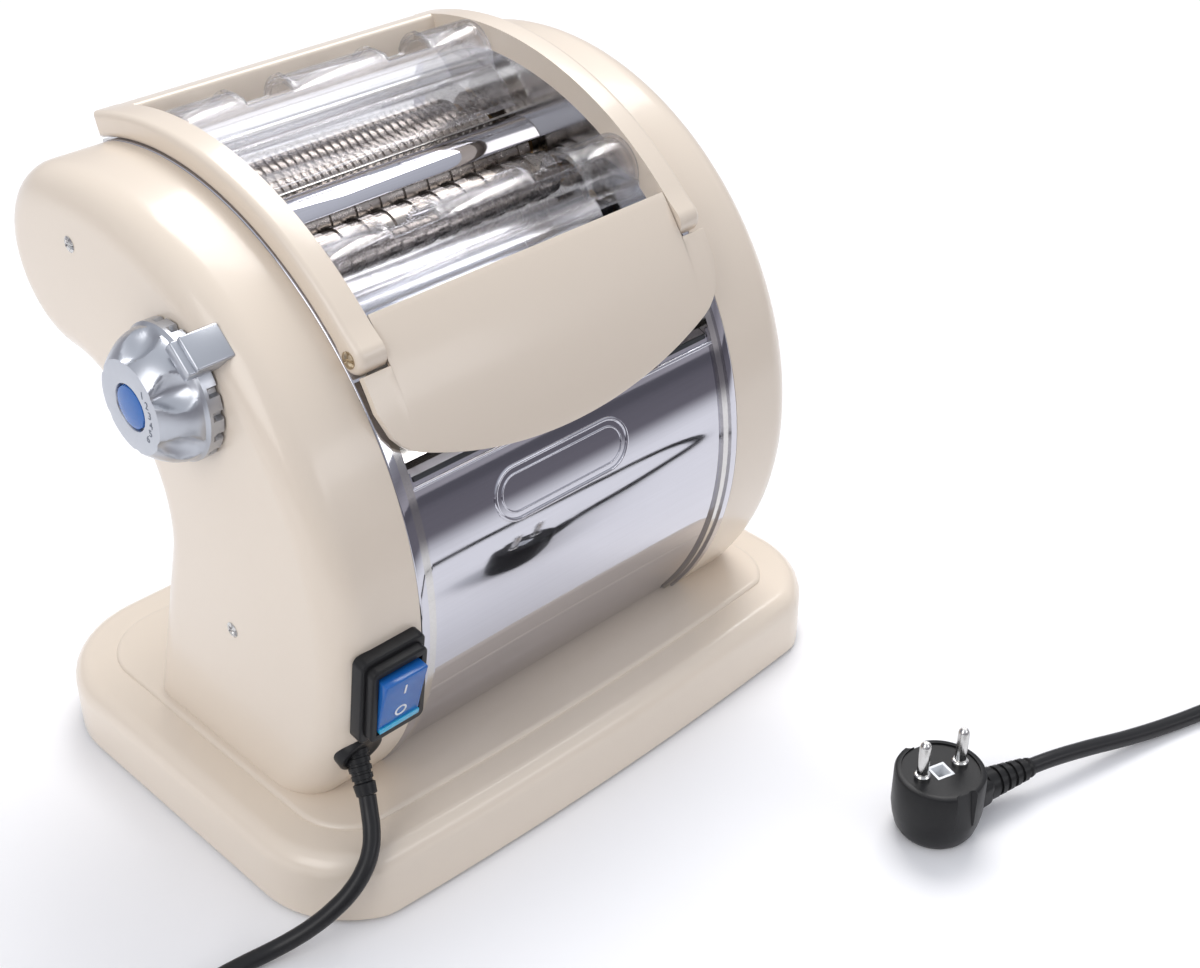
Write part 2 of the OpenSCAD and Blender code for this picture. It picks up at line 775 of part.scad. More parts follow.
module plug_body() {
    color("black") plug_place() difference() {
        union() {
            translate([0, 0, 3]) cylinder(h = 28, r = 19);
            translate([0, -11, 3]) cube([24, 22, 16]);
            translate([0, 0, 0]) cylinder(h = 3, r = 15);
        }
        mirror([0, 1, 0]) translate([-2.6, 16.4, 20]) cube([5.2, 5, 14]);
        translate([-2.6, 16.4, 20]) cube([5.2, 5, 14]);
        translate([0, 0, 22]) cylinder(h = 12, r = 2.6);
    }
}

module plug_pins() {
    color("silver") plug_place() for (s = [-1, 1]) translate([s * 9.5, 0, 31]) {
        cylinder(h = 18, r = 2.4);
    }
}

module plug_relief() {
    color("black") plug_place() translate([24, 0, 12]) rotate([0, 90, 0]) union() {
        cylinder(h = 6, r = 7);
        for (i = [0:4]) translate([0, 0, 6 + i * 3.6]) cylinder(h = 2.4, r = 6.4 - i * 0.4);
        translate([0, 0, 5]) cylinder(h = 20, r = 4.4);
    }
}

module base_screws() {
    color("silver") for (p = foot_screws) translate([p[0], p[1], 0]) {
        translate([0, 0, 21]) cylinder(h = base_top - 21, r = 2.15);
    }
}

base();
base_plate();
feet();
left_housing();
right_housing();
left_side_plate();
right_side_plate();
left_trim();
right_trim();
tie_rods();
front_panel();
rear_panel();
front_chute();
rear_chute();
top_frame();
pivot_screws();
apron();
front_guard();
rear_guard();
front_roller();
rear_roller();
roller_blocks();
block_bushes();
dial_shaft();
dial_bush();
dial_knob();
dial_insert();
dial_spring();
index_block();
wide_cutter_front();
wide_cutter_rear();
fine_cutter_front();
fine_cutter_rear();
cutter_cover();
fine_comb();
bushes();
front_roller_gear();
rear_roller_gear();
wide_front_gear();
wide_rear_gear();
fine_front_gear();
fine_rear_gear();
idler_gear();
idler_stud();
motor();
motor_pinion();
motor_screws();
switch_frame();
switch_rocker();
cord_gland();
power_cord();
cord_coil();
cord_tie();
plug_body();
plug_pins();
plug_relief();
housing_screws();
base_screws();
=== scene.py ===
import json
import math

import bmesh
import bpy
from mathutils import Matrix, Vector


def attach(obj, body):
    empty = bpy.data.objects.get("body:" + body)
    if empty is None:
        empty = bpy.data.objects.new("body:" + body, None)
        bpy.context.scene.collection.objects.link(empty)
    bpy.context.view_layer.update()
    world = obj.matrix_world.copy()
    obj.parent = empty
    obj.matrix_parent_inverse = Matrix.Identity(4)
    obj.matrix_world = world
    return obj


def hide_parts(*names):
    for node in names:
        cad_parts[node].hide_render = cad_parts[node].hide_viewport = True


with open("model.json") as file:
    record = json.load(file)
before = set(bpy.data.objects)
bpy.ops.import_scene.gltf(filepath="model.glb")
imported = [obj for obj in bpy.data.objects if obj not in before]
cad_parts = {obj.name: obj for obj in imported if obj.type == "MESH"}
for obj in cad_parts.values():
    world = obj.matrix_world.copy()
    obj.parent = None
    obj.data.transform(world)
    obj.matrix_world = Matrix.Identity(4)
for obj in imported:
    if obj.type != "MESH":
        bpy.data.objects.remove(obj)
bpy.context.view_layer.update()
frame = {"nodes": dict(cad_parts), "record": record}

mm = 0.001
turn = math.tau
scene = bpy.context.scene
scene.view_settings.view_transform = "Standard"
print("frame loaded")

# Camera
cameraPlace = {"at": (-0.4206, -0.5283, 0.5391), "target": (0.0774, -0.0209, 0.0743), "lens": 54.87}


def makeCamera():
    data = bpy.data.cameras.new("camera")
    data.lens = cameraPlace["lens"]
    data.sensor_width = 36
    camera = bpy.data.objects.new("camera", data)
    scene.collection.objects.link(camera)
    camera.location = cameraPlace["at"]
    sight = Vector(cameraPlace["target"]) - camera.location
    camera.rotation_euler = sight.to_track_quat("-Z", "Y").to_euler()
    scene.camera = camera


makeCamera()

# Shared places, in millimetres, as the machine's frame has them
bodyAxis = (48, 124)      # y and z of the body's axis
bodyRadius = 142
baseTop = 32
plateOut = 84
housingIn = 88
housingEnd = 127
apronPin = (-62.5, 221.7)


# Shader groups
def newGroup(name, inputs, outputs):
    group = bpy.data.node_groups.new(name, "ShaderNodeTree")
    for label, kind, value in inputs:
        socket = group.interface.new_socket(name=label, in_out="INPUT", socket_type=kind)
        if value is not None:
            socket.default_value = value
    for label, kind in outputs:
        group.interface.new_socket(name=label, in_out="OUTPUT", socket_type=kind)
    return group, group.nodes.new("NodeGroupInput"), group.nodes.new("NodeGroupOutput")


def addNode(tree, kind, settings=None, **values):
    node = tree.nodes.new(kind)
    for key, value in (settings or {}).items():
        setattr(node, key, value)
    for key, value in values.items():
        node.inputs[key.replace("_", " ")].default_value = value
    return node


def mathNode(tree, operation, first, second):
    node = addNode(tree, "ShaderNodeMath", {"operation": operation})
    for socket, value in zip(node.inputs, (first, second)):
        if isinstance(value, (int, float)):
            socket.default_value = value
        else:
            tree.links.new(value, socket)
    return node.outputs[0]


def noiseAt(tree, vector, scale, detail=3.0):
    node = addNode(tree, "ShaderNodeTexNoise", Detail=detail)
    tree.links.new(vector, node.inputs["Vector"])
    if isinstance(scale, (int, float)):
        node.inputs["Scale"].default_value = scale
    else:
        tree.links.new(scale, node.inputs["Scale"])
    return node.outputs["Fac"]


def mixColor(tree, mask, first, second):
    node = addNode(tree, "ShaderNodeMix", {"data_type": "RGBA"})
    for socket, value in ((node.inputs[0], mask), (node.inputs[6], first), (node.inputs[7], second)):
        if hasattr(value, "is_output"):
            tree.links.new(value, socket)
        else:
            socket.default_value = value
    return node.outputs[2]


# Soft mottling, orange peel and faint dust of a moulded or painted skin
def makeSkinGroup():
    color, number = "NodeSocketColor", "NodeSocketFloat"
    group, given, made = newGroup("mouldedSkin", [
        ("Vector", "NodeSocketVector", None), ("Color", color, (1, 1, 1, 1)),
        ("Shade", color, (0.8, 0.8, 0.8, 1)), ("Mottle", number, 0.3),
        ("Roughness", number, 0.3), ("Spread", number, 0.08), ("Grain", number, 900.0)],
        [("Color", color), ("Roughness", number), ("Height", number)])
    vector = given.outputs["Vector"]
    broad = noiseAt(group, vector, 22.0, 4.0)
    dust = noiseAt(group, vector, 260.0, 6.0)
    fine = noiseAt(group, vector, given.outputs["Grain"], 2.0)
    blend = mathNode(group, "MULTIPLY", mathNode(group, "MULTIPLY", broad, dust), given.outputs["Mottle"])
    color = mixColor(group, blend, given.outputs["Color"], given.outputs["Shade"])
    group.links.new(color, made.inputs["Color"])
    swing = mathNode(group, "MULTIPLY", mathNode(group, "SUBTRACT", dust, 0.5), given.outputs["Spread"])
    group.links.new(mathNode(group, "ADD", swing, given.outputs["Roughness"]), made.inputs["Roughness"])
    group.links.new(fine, made.inputs["Height"])
    return group


# Long fine scratches that run along X, for rolled, drawn or ground metal; on the mirror chrome the long
# darker streaks are painted reflection
def makeGrainAndReflectionGroup():
    color, number = "NodeSocketColor", "NodeSocketFloat"
    group, given, made = newGroup("drawnGrainAndReflection", [
        ("Vector", "NodeSocketVector", None), ("Color", color, (1, 1, 1, 1)),
        ("Shade", color, (0.5, 0.5, 0.5, 1)), ("Along", number, 12.0), ("Across", number, 1400.0),
        ("Contrast", number, 0.4), ("Roughness", number, 0.2), ("Spread", number, 0.1)],
        [("Color", color), ("Roughness", number), ("Height", number)])
    split = group.nodes.new("ShaderNodeSeparateXYZ")
    group.links.new(given.outputs["Vector"], split.inputs[0])
    join = group.nodes.new("ShaderNodeCombineXYZ")
    for axis, scale in ((0, "Along"), (1, "Across"), (2, "Across")):
        scaled = mathNode(group, "MULTIPLY", split.outputs[axis], given.outputs[scale])
        group.links.new(scaled, join.inputs[axis])
    streak = noiseAt(group, join.outputs[0], 1.0, 2.0)
    cloud = noiseAt(group, given.outputs["Vector"], 35.0, 5.0)
    stainAndReflection = mathNode(group, "ADD", streak, mathNode(group, "MULTIPLY", cloud, 0.5))
    mask = mathNode(group, "MULTIPLY", stainAndReflection, given.outputs["Contrast"])
    color = mixColor(group, mask, given.outputs["Color"], given.outputs["Shade"])
    group.links.new(color, made.inputs["Color"])
    swing = mathNode(group, "MULTIPLY", mathNode(group, "SUBTRACT", streak, 0.5), given.outputs["Spread"])
    smudge = mathNode(group, "MULTIPLY", mathNode(group, "SUBTRACT", cloud, 0.5), given.outputs["Spread"])
    rough = mathNode(group, "ADD", mathNode(group, "ADD", swing, smudge), given.outputs["Roughness"])
    group.links.new(rough, made.inputs["Roughness"])
    group.links.new(streak, made.inputs["Height"])
    return group


skinGroup = makeSkinGroup()
grainAndReflectionGroup = makeGrainAndReflectionGroup()


def material(name, group, finish, values, bump=(0.1, 0.00005), mapping=None):
    made = bpy.data.materials.new(name)
    made.use_nodes = True
    tree = made.node_tree
    shader = tree.nodes["Principled BSDF"]
    for key, value in finish.items():
        shader.inputs[key].default_value = value
    coordinates = tree.nodes.new("ShaderNodeTexCoord").outputs["Object"]
    if mapping:
        turned = addNode(tree, "ShaderNodeMapping", Rotation=mapping)
        tree.links.new(coordinates, turned.inputs["Vector"])
        coordinates = turned.outputs["Vector"]
    effect = tree.nodes.new("ShaderNodeGroup")
    effect.node_tree = group
    tree.links.new(coordinates, effect.inputs["Vector"])
    for key, value in values.items():
        effect.inputs[key].default_value = value
    tree.links.new(effect.outputs["Color"], shader.inputs["Base Color"])
    tree.links.new(effect.outputs["Roughness"], shader.inputs["Roughness"])
    relief = addNode(tree, "ShaderNodeBump", Strength=bump[0], Distance=bump[1])
    tree.links.new(effect.outputs["Height"], relief.inputs["Height"])
    tree.links.new(relief.outputs["Normal"], shader.inputs["Normal"])
    return made


def shade(*values):
    return (*values, 1)


def makeMaterials():
    acrossX = (0, 0, turn / 4)
    return {
        "creamEnamel": material("creamEnamel", skinGroup,
            {"Coat Weight": 0.35, "Coat Roughness": 0.12, "Specular IOR Level": 0.45},
            {"Color": shade(0.76, 0.665, 0.555), "Shade": shade(0.72, 0.62, 0.51), "Mottle": 0.3,
             "Roughness": 0.3, "Spread": 0.05, "Grain": 700.0}, (0.04, 0.00003)),
        # Mirror chrome: the lilac tint and the long darker streaks along X are painted reflection of a
        # lilac-grey surround with dark bands
        "mirrorChrome": material("mirrorChrome", grainAndReflectionGroup, {"Metallic": 1.0},
            {"Color": shade(0.60, 0.60, 0.65), "Shade": shade(0.44, 0.43, 0.46), "Contrast": 0.35,
             "Roughness": 0.05, "Spread": 0.06, "Along": 20.0}, (0.02, 0.00002)),
        "plateSteel": material("plateSteel", grainAndReflectionGroup, {"Metallic": 1.0},
            {"Color": shade(0.66, 0.65, 0.64), "Shade": shade(0.46, 0.44, 0.42), "Contrast": 0.4,
             "Roughness": 0.13, "Spread": 0.12, "Along": 60.0, "Across": 900.0}, (0.05, 0.00003), acrossX),
        "rollerSteel": material("rollerSteel", grainAndReflectionGroup, {"Metallic": 1.0},
            {"Color": shade(0.72, 0.73, 0.77), "Shade": shade(0.50, 0.50, 0.54), "Contrast": 0.35,
             "Roughness": 0.24, "Spread": 0.12, "Along": 900.0, "Across": 40.0}, (0.08, 0.00003)),
        "cutterSteel": material("cutterSteel", grainAndReflectionGroup, {"Metallic": 1.0},
            {"Color": shade(0.50, 0.46, 0.43), "Shade": shade(0.22, 0.20, 0.19), "Contrast": 0.6,
             "Roughness": 0.27, "Spread": 0.16, "Along": 300.0, "Across": 300.0}, (0.2, 0.00006)),
        "combSteel": material("combSteel", grainAndReflectionGroup, {"Metallic": 1.0},
            {"Color": shade(0.74, 0.73, 0.72), "Shade": shade(0.5, 0.48, 0.47), "Contrast": 0.4,
             "Roughness": 0.22, "Spread": 0.1}, (0.08, 0.00003)),
        "dialSilver": material("dialSilver", skinGroup, {"Metallic": 0.82, "Coat Weight": 0.25},
            {"Color": shade(0.50, 0.52, 0.56), "Shade": shade(0.38, 0.40, 0.44), "Mottle": 0.5,
             "Roughness": 0.3, "Spread": 0.06, "Grain": 3200.0}, (0.12, 0.00004)),
        "blueLens": material("blueLens", skinGroup,
            {"Coat Weight": 0.25, "Coat Roughness": 0.04, "Subsurface Weight": 0.2,
             "Subsurface Radius": (0.002, 0.004, 0.01), "Specular IOR Level": 0.3},
            {"Color": shade(0.012, 0.11, 0.40), "Shade": shade(0.02, 0.2, 0.55), "Mottle": 0.8,
             "Roughness": 0.16, "Spread": 0.05, "Grain": 500.0}, (0.03, 0.00003)),
        "cyanEdge": material("cyanEdge", skinGroup,
            {"Coat Weight": 0.8, "Subsurface Weight": 0.3, "Subsurface Radius": (0.002, 0.006, 0.01)},
            {"Color": shade(0.01, 0.36, 0.62), "Shade": shade(0.02, 0.5, 0.75), "Mottle": 0.8,
             "Roughness": 0.15, "Spread": 0.05}, (0.03, 0.00003)),
        "blackGrain": material("blackGrain", skinGroup, {"Specular IOR Level": 0.22},
            {"Color": shade(0.012, 0.012, 0.013), "Shade": shade(0.03, 0.03, 0.03), "Mottle": 0.7,
             "Roughness": 0.36, "Spread": 0.12, "Grain": 1500.0}, (0.25, 0.00006)),
        "cordSheath": material("cordSheath", skinGroup, {"Specular IOR Level": 0.28},
            {"Color": shade(0.014, 0.014, 0.015), "Shade": shade(0.03, 0.03, 0.032), "Mottle": 0.6,
             "Roughness": 0.34, "Spread": 0.12, "Grain": 900.0}, (0.12, 0.00005)),
        "footRubber": material("footRubber", skinGroup, {},
            {"Color": shade(0.02, 0.02, 0.02), "Shade": shade(0.05, 0.05, 0.05), "Mottle": 0.8,
             "Roughness": 0.7, "Spread": 0.15, "Grain": 600.0}, (0.4, 0.0001)),
        "zincPlate": material("zincPlate", grainAndReflectionGroup, {"Metallic": 1.0},
            {"Color": shade(0.70, 0.70, 0.70), "Shade": shade(0.48, 0.46, 0.42), "Contrast": 0.5,
             "Roughness": 0.2, "Spread": 0.12, "Along": 500.0, "Across": 500.0}, (0.08, 0.00003)),
        "brassScrew": material("brassScrew", grainAndReflectionGroup, {"Metallic": 1.0},
            {"Color": shade(0.60, 0.50, 0.36), "Shade": shade(0.36, 0.28, 0.18), "Contrast": 0.5,
             "Roughness": 0.28, "Spread": 0.12, "Along": 500.0, "Across": 500.0}, (0.08, 0.00003)),
        "bushBronze": material("bushBronze", grainAndReflectionGroup, {"Metallic": 1.0},
            {"Color": shade(0.55, 0.38, 0.18), "Shade": shade(0.32, 0.2, 0.09), "Contrast": 0.6,
             "Roughness": 0.4, "Spread": 0.15, "Along": 600.0, "Across": 600.0}, (0.2, 0.00005)),
        "gearNylon": material("gearNylon", skinGroup, {"Subsurface Weight": 0.1},
            {"Color": shade(0.74, 0.70, 0.60), "Shade": shade(0.62, 0.57, 0.47), "Mottle": 0.6,
             "Roughness": 0.48, "Spread": 0.1}),
        # Dark paint of the inner parts; the same finish gives the painted shade of the chrome front's two
        # slots
        "darkPaintAndSlotShade": material("darkPaintAndSlotShade", skinGroup, {"Metallic": 0.3},
            {"Color": shade(0.03, 0.033, 0.038), "Shade": shade(0.06, 0.06, 0.065), "Mottle": 0.8,
             "Roughness": 0.5, "Spread": 0.15}, (0.3, 0.00008)),
        "printInk": material("printInk", skinGroup, {},
            {"Color": shade(0.16, 0.18, 0.22), "Shade": shade(0.3, 0.32, 0.36), "Mottle": 0.6,
             "Roughness": 0.5, "Spread": 0.1}),
        "whiteInk": material("whiteInk", skinGroup, {},
            {"Color": shade(0.86, 0.88, 0.9), "Shade": shade(0.7, 0.74, 0.8), "Mottle": 0.4,
             "Roughness": 0.4, "Spread": 0.1}),
    }


def makeClearPlastic():
    made = bpy.data.materials.new("clearPlastic")
    made.use_nodes = True
    tree = made.node_tree
    shader = tree.nodes["Principled BSDF"]
    for key, value in {"Transmission Weight": 1.0, "IOR": 1.3, "Metallic": 0.0, "Alpha": 0.42}.items():
        shader.inputs[key].default_value = value
    coordinates = tree.nodes.new("ShaderNodeTexCoord").outputs["Object"]
    effect = tree.nodes.new("ShaderNodeGroup")
    effect.node_tree = skinGroup
    tree.links.new(coordinates, effect.inputs["Vector"])
    for key, value in {"Color": shade(0.97, 0.96, 0.99), "Shade": shade(0.90, 0.89, 0.95), "Mottle": 0.5,
                       "Roughness": 0.03, "Spread": 0.03, "Grain": 120.0}.items():
        effect.inputs[key].default_value = value
    tree.links.new(effect.outputs["Color"], shader.inputs["Base Color"])
    tree.links.new(effect.outputs["Roughness"], shader.inputs["Roughness"])
    relief = addNode(tree, "ShaderNodeBump", Strength=0.012, Distance=0.0001)
    tree.links.new(effect.outputs["Height"], relief.inputs["Height"])
    tree.links.new(relief.outputs["Normal"], shader.inputs["Normal"])
    return made


finishes = makeMaterials()
finishes["clearPlastic"] = makeClearPlastic()
print("materials made")


# Modelling helpers; meshes are worked in millimetres
# Scales a finished mesh to metres and makes it a piece with its finish and body
def settle(bm, name, finish, body, replaced=(), angle=35, recalc=True):
    bmesh.ops.remove_doubles(bm, verts=bm.verts, dist=0.001)
    if recalc:
        bmesh.ops.recalc_face_normals(bm, faces=bm.faces)
    bmesh.ops.scale(bm, vec=(mm, mm, mm), verts=bm.verts)
    mesh = bpy.data.meshes.new(name)
    bm.to_mesh(mesh)
    bm.free()
    mesh.shade_smooth()
    mesh.set_sharp_from_angle(angle=math.radians(angle))
    piece = bpy.data.objects.new(name, mesh)
    scene.collection.objects.link(piece)
    mesh.materials.append(finishes[finish])
    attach(piece, body)
    if replaced:
        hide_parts(*replaced)
    return piece


def vertsOf(result, key="geom_last"):
    return [item for item in result[key] if isinstance(item, bmesh.types.BMVert)]


def facesOf(result):
    return [item for item in result["geom"] if isinstance(item, bmesh.types.BMFace)]


# Draws a chain in the plane at x; a move is a point, or a centre with a sweep in degrees
def chain(bm, x, start, moves):
    last = bm.verts.new((x, *start))
    verts = [last]
    for move in moves:
        if len(move) == 2:
            fresh = bm.verts.new((x, *move))
            bm.edges.new((last, fresh))
            verts.append(fresh)
        else:
            centre, sweep, steps = move
            known = set(bm.verts)
            swept = bmesh.ops.spin(bm, geom=[last], cent=(x, *centre), axis=(1, 0, 0),
                                   angle=math.radians(sweep), steps=steps)
            fresh = vertsOf(swept)[0]
            verts += [v for v in bm.verts if v not in known]
        last = fresh
    return verts


def closeChain(bm, verts):
    ends = [v for v in verts if len(v.link_edges) == 1]
    bm.edges.new(ends)
    loop = {e for v in verts for e in v.link_edges if e.is_wire}
    return bmesh.ops.contextual_create(bm, geom=list(loop))["faces"][0]


def extrudeFace(bm, face, vector):
    grown = bmesh.ops.extrude_face_region(bm, geom=[face])
    top = facesOf(grown)[0]
    bmesh.ops.translate(bm, vec=vector, verts=top.verts)
    return top


# Rounds the edge of a cap: each inset steps along a quarter of an ellipse
def crown(bm, cap, inset, height, steps=8):
    for i in range(steps):
        a, b = i * turn / 4 / steps, (i + 1) * turn / 4 / steps
        bmesh.ops.inset_individual(bm, faces=[cap], thickness=inset * (math.cos(a) - math.cos(b)),
                                   depth=height * (math.sin(b) - math.sin(a)), use_even_offset=True)


def roundEdges(bm, edges, width, segments=3):
    bmesh.ops.bevel(bm, geom=list(edges), offset=width, offset_type="OFFSET", affect="EDGES",
                    segments=segments, profile=0.5, material=-1, clamp_overlap=True)


def sharpEdges(bm, degrees=30):
    return [e for e in bm.edges if len(e.link_faces) == 2 and e.calc_face_angle(0) > math.radians(degrees)]


# Turns a profile of (x, radius) pairs about the X line through centre
def lathe(bm, centre, profile, steps=64):
    verts = [bm.verts.new((x, centre[0], centre[1] + radius)) for x, radius in profile]
    edges = [bm.edges.new(pair) for pair in zip(verts, verts[1:])]
    bmesh.ops.spin(bm, geom=verts + edges, cent=(0, *centre), axis=(1, 0, 0), angle=turn,
                   steps=steps, use_merge=True)


def box(bm, low, high):
    made = bmesh.ops.create_cube(bm, size=1)
    size = [b - a for a, b in zip(low, high)]
    middle = [(a + b) / 2 for a, b in zip(low, high)]
    bmesh.ops.scale(bm, vec=size, verts=made["verts"])
    bmesh.ops.translate(bm, vec=middle, verts=made["verts"])
    return made["verts"]


# A copy of a frame node with merged corners and rounded edges, which then stands for it
def softened(node, finish, body, width):
    bm = bmesh.new()
    bm.from_mesh(frame["nodes"][node].data)
    bmesh.ops.scale(bm, vec=(1 / mm,) * 3, verts=bm.verts)
    bmesh.ops.remove_doubles(bm, verts=bm.verts, dist=0.002)
    bmesh.ops.dissolve_limit(bm, angle_limit=math.radians(1), verts=bm.verts, edges=bm.edges)
    roundEdges(bm, sharpEdges(bm), width, 2)
    return settle(bm, node + "_finish", finish, body, (node,), recalc=False)


# Cuts the cutter's shape out of a finished piece
def carve(piece, cutter):
    cut = piece.modifiers.new("cut", "BOOLEAN")
    cut.object, cut.operation, cut.solver = cutter, "DIFFERENCE", "EXACT"
    cut.use_self = True
    shape = bpy.data.meshes.new_from_object(piece.evaluated_get(bpy.context.evaluated_depsgraph_get()))
    piece.modifiers.clear()
    piece.data = shape
    shape.shade_smooth()
    shape.set_sharp_from_angle(angle=math.radians(35))
    bpy.data.objects.remove(cutter)


def looseObject(bm, name):
    bmesh.ops.recalc_face_normals(bm, faces=bm.faces)
    bmesh.ops.scale(bm, vec=(mm, mm, mm), verts=bm.verts)
    mesh = bpy.data.meshes.new(name)
    bm.to_mesh(mesh)
    bm.free()
    made = bpy.data.objects.new(name, mesh)
    scene.collection.objects.link(made)
    return made


# Place of a fitting on the round front: x along, angle above the body's axis, -Y outwards
def onFront(x, angle):
    return Matrix.Translation((x, *bodyAxis)) @ Matrix.Rotation(math.radians(-angle), 4, "X")


# Mains lead: its route, coil and plug come first
lead = {
    "diameter": 7, "declared": 1.8,
    "gland": (-112, -77.5, 68), "glandTilt": 140, "glandTurn": -20, "glandLength": 21,
    "coilCentre": (-184.5, -196), "coilTurns": 3.25,
    # start and end in degrees, then the radius and height it changes to
    "coilShifts": [(280, 355, 38, 3.5), (560, 640, 38, 10.5), (880, 960, 45, 10.5)],
    "plug": (74, -224, 0), "plugTurn": -17,
}
routeToCoil = [(-118.5, -93.5, 47), (-121.5, -98, 41.6), (-125.5, -101.8, 36.8), (-131, -104.2, 31.8),
    (-138, -104.6, 26), (-145.5, -102.6, 20), (-153, -99, 14), (-161, -94.6, 8.8), (-170, -90.4, 5.2),
    (-180, -87.5, 3.7), (-191, -86.5, 3.5), (-204, -89, 3.5), (-216, -97, 3.5), (-224.5, -110, 3.5),
    (-228.5, -127, 3.5), (-229.5, -146, 3.5), (-229.5, -166, 3.5), (-229.5, -181, 3.5)]
routeToPlug = [(-166, -241.6, 9.6), (-148, -243.6, 7), (-128, -248, 4.4), (-104, -256, 3.5), (-74, -270, 3.5),
    (-42, -287, 3.5), (-10, -306, 3.5), (20, -325, 3.5), (52, -343, 3.5), (86, -355, 3.5),
    (120, -359, 3.5), (155, -355, 3.5), (190, -346, 3.5), (222, -338, 3.5), (246, -332, 3.5),
    (262, -319, 3.5), (266, -302, 3.5), (259, -286, 3.5), (244, -276, 3.5), (222, -269, 3.5),
    (198, -261.6, 3.8), (174, -254.4, 6), (150, -247, 9.6), (131, -241.3, 11.7), (120.9, -238.3, 12)]


def glandPlace():
    return (Matrix.Translation(lead["gland"]) @ Matrix.Rotation(math.radians(lead["glandTurn"]), 4, "Z")
            @ Matrix.Rotation(math.radians(lead["glandTilt"]), 4, "X"))


def plugPlace():
    return Matrix.Translation(lead["plug"]) @ Matrix.Rotation(math.radians(lead["plugTurn"]), 4, "Z")


# Turns two beside and two on each other; it leaves a quarter turn past where it came in
def coilPoints(perTurn=20):
    radius, height, points = 45, 3.5, []
    for i in range(int(lead["coilTurns"] * perTurn) + 1):
        degrees = i * 360 / perTurn
        nowRadius, nowHeight = radius, height
        for start, end, nextRadius, nextHeight in lead["coilShifts"]:
            share = min(max((degrees - start) / (end - start), 0), 1)
            share = share * share * (3 - 2 * share)
            nowRadius += (nextRadius - nowRadius) * share
            nowHeight += (nextHeight - nowHeight) * share
        angle = math.pi + math.radians(degrees)
        points.append((lead["coilCentre"][0] + nowRadius * math.cos(angle),
                       lead["coilCentre"][1] + nowRadius * math.sin(angle), nowHeight))
    return points


def makeCord():
    start = glandPlace() @ Vector((0, 0, lead["glandLength"]))
    points = [tuple(start)] + routeToCoil + coilPoints() + routeToPlug
    curve = bpy.data.curves.new("mains_lead", "CURVE")
    curve.dimensions = "3D"
    curve.bevel_depth = lead["diameter"] / 2 * mm
    curve.bevel_resolution = 5
    curve.resolution_u = 6
    curve.use_fill_caps = True
    line = curve.splines.new("BEZIER")
    line.bezier_points.add(len(points) - 1)
    for knot, point in zip(line.bezier_points, points):
        knot.co = Vector(point) * mm
        knot.handle_left_type = knot.handle_right_type = "AUTO"
    cord = bpy.data.objects.new("mains_lead", curve)
    scene.collection.objects.link(cord)
    curve.materials.append(finishes["cordSheath"])
    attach(cord, "frame")
    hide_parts("power_cord", "cord_coil")
    return cord, start * mm


cord, cordStart = makeCord()


# Collar on the housing and a tapered sleeve of rings round the lead
def makeGland():
    bm = bmesh.new()
    profile = [(-2, 0), (-2, 5.4)]
    for i in range(5):
        radius = 5.5 - 0.28 * i
        profile += [(3.2 * i, radius), (3.2 * i + 1.9, radius - 0.12), (3.2 * i + 2.1, radius - 0.75),
                    (3.2 * i + 3, radius - 0.75)]
    end = lead["glandLength"]
    profile += [(16.4, 4.5), (end - 0.4, 4.2), (end, 3.8), (end, 0)]
    verts = [bm.verts.new((radius, 0, along)) for along, radius in profile]
    edges = [bm.edges.new(pair) for pair in zip(verts, verts[1:])]
    bmesh.ops.spin(bm, geom=verts + edges, cent=(0, 0, 0), axis=(0, 0, 1), angle=turn,
                   steps=40, use_merge=True)
    bmesh.ops.transform(bm, matrix=glandPlace(), verts=bm.verts)
    sleeve = set(bm.verts)
    angle = -math.degrees(math.atan2(bodyAxis[1] - lead["gland"][2], bodyAxis[0] - lead["gland"][1]))
    ring = [(-4, 0), (-4, 9.9), (0.5, 9.9), (1.1, 9.5), (1.3, 8.8), (1.1, 7.6), (0.6, 6.4), (0.6, 0)]
    verts = [bm.verts.new((radius, -bodyRadius - along, 0)) for along, radius in ring]
    edges = [bm.edges.new(pair) for pair in zip(verts, verts[1:])]
    bmesh.ops.spin(bm, geom=verts + edges, cent=(0, 0, 0), axis=(0, 1, 0), angle=turn,
                   steps=56, use_merge=True)
    bmesh.ops.transform(bm, matrix=onFront(lead["gland"][0], angle),
                        verts=[v for v in bm.verts if v not in sleeve])
    return settle(bm, "lead_gland", "blackGrain", "frame", ("cord_gland",))


gland = makeGland()


# Round right-angle plug: grooved body, pins with collars, earth clip and a ribbed sleeve
plugSizes = {"radius": 19, "height": 31, "pinGap": 9.5, "pinRadius": 2.4, "pinTop": 49,
             "key": (4.5, 16.2, 14), "wellRadius": 16.3, "wellDepth": 1.6, "earthHalf": 4.3,
             "sleeveAt": (24, 0, 12)}


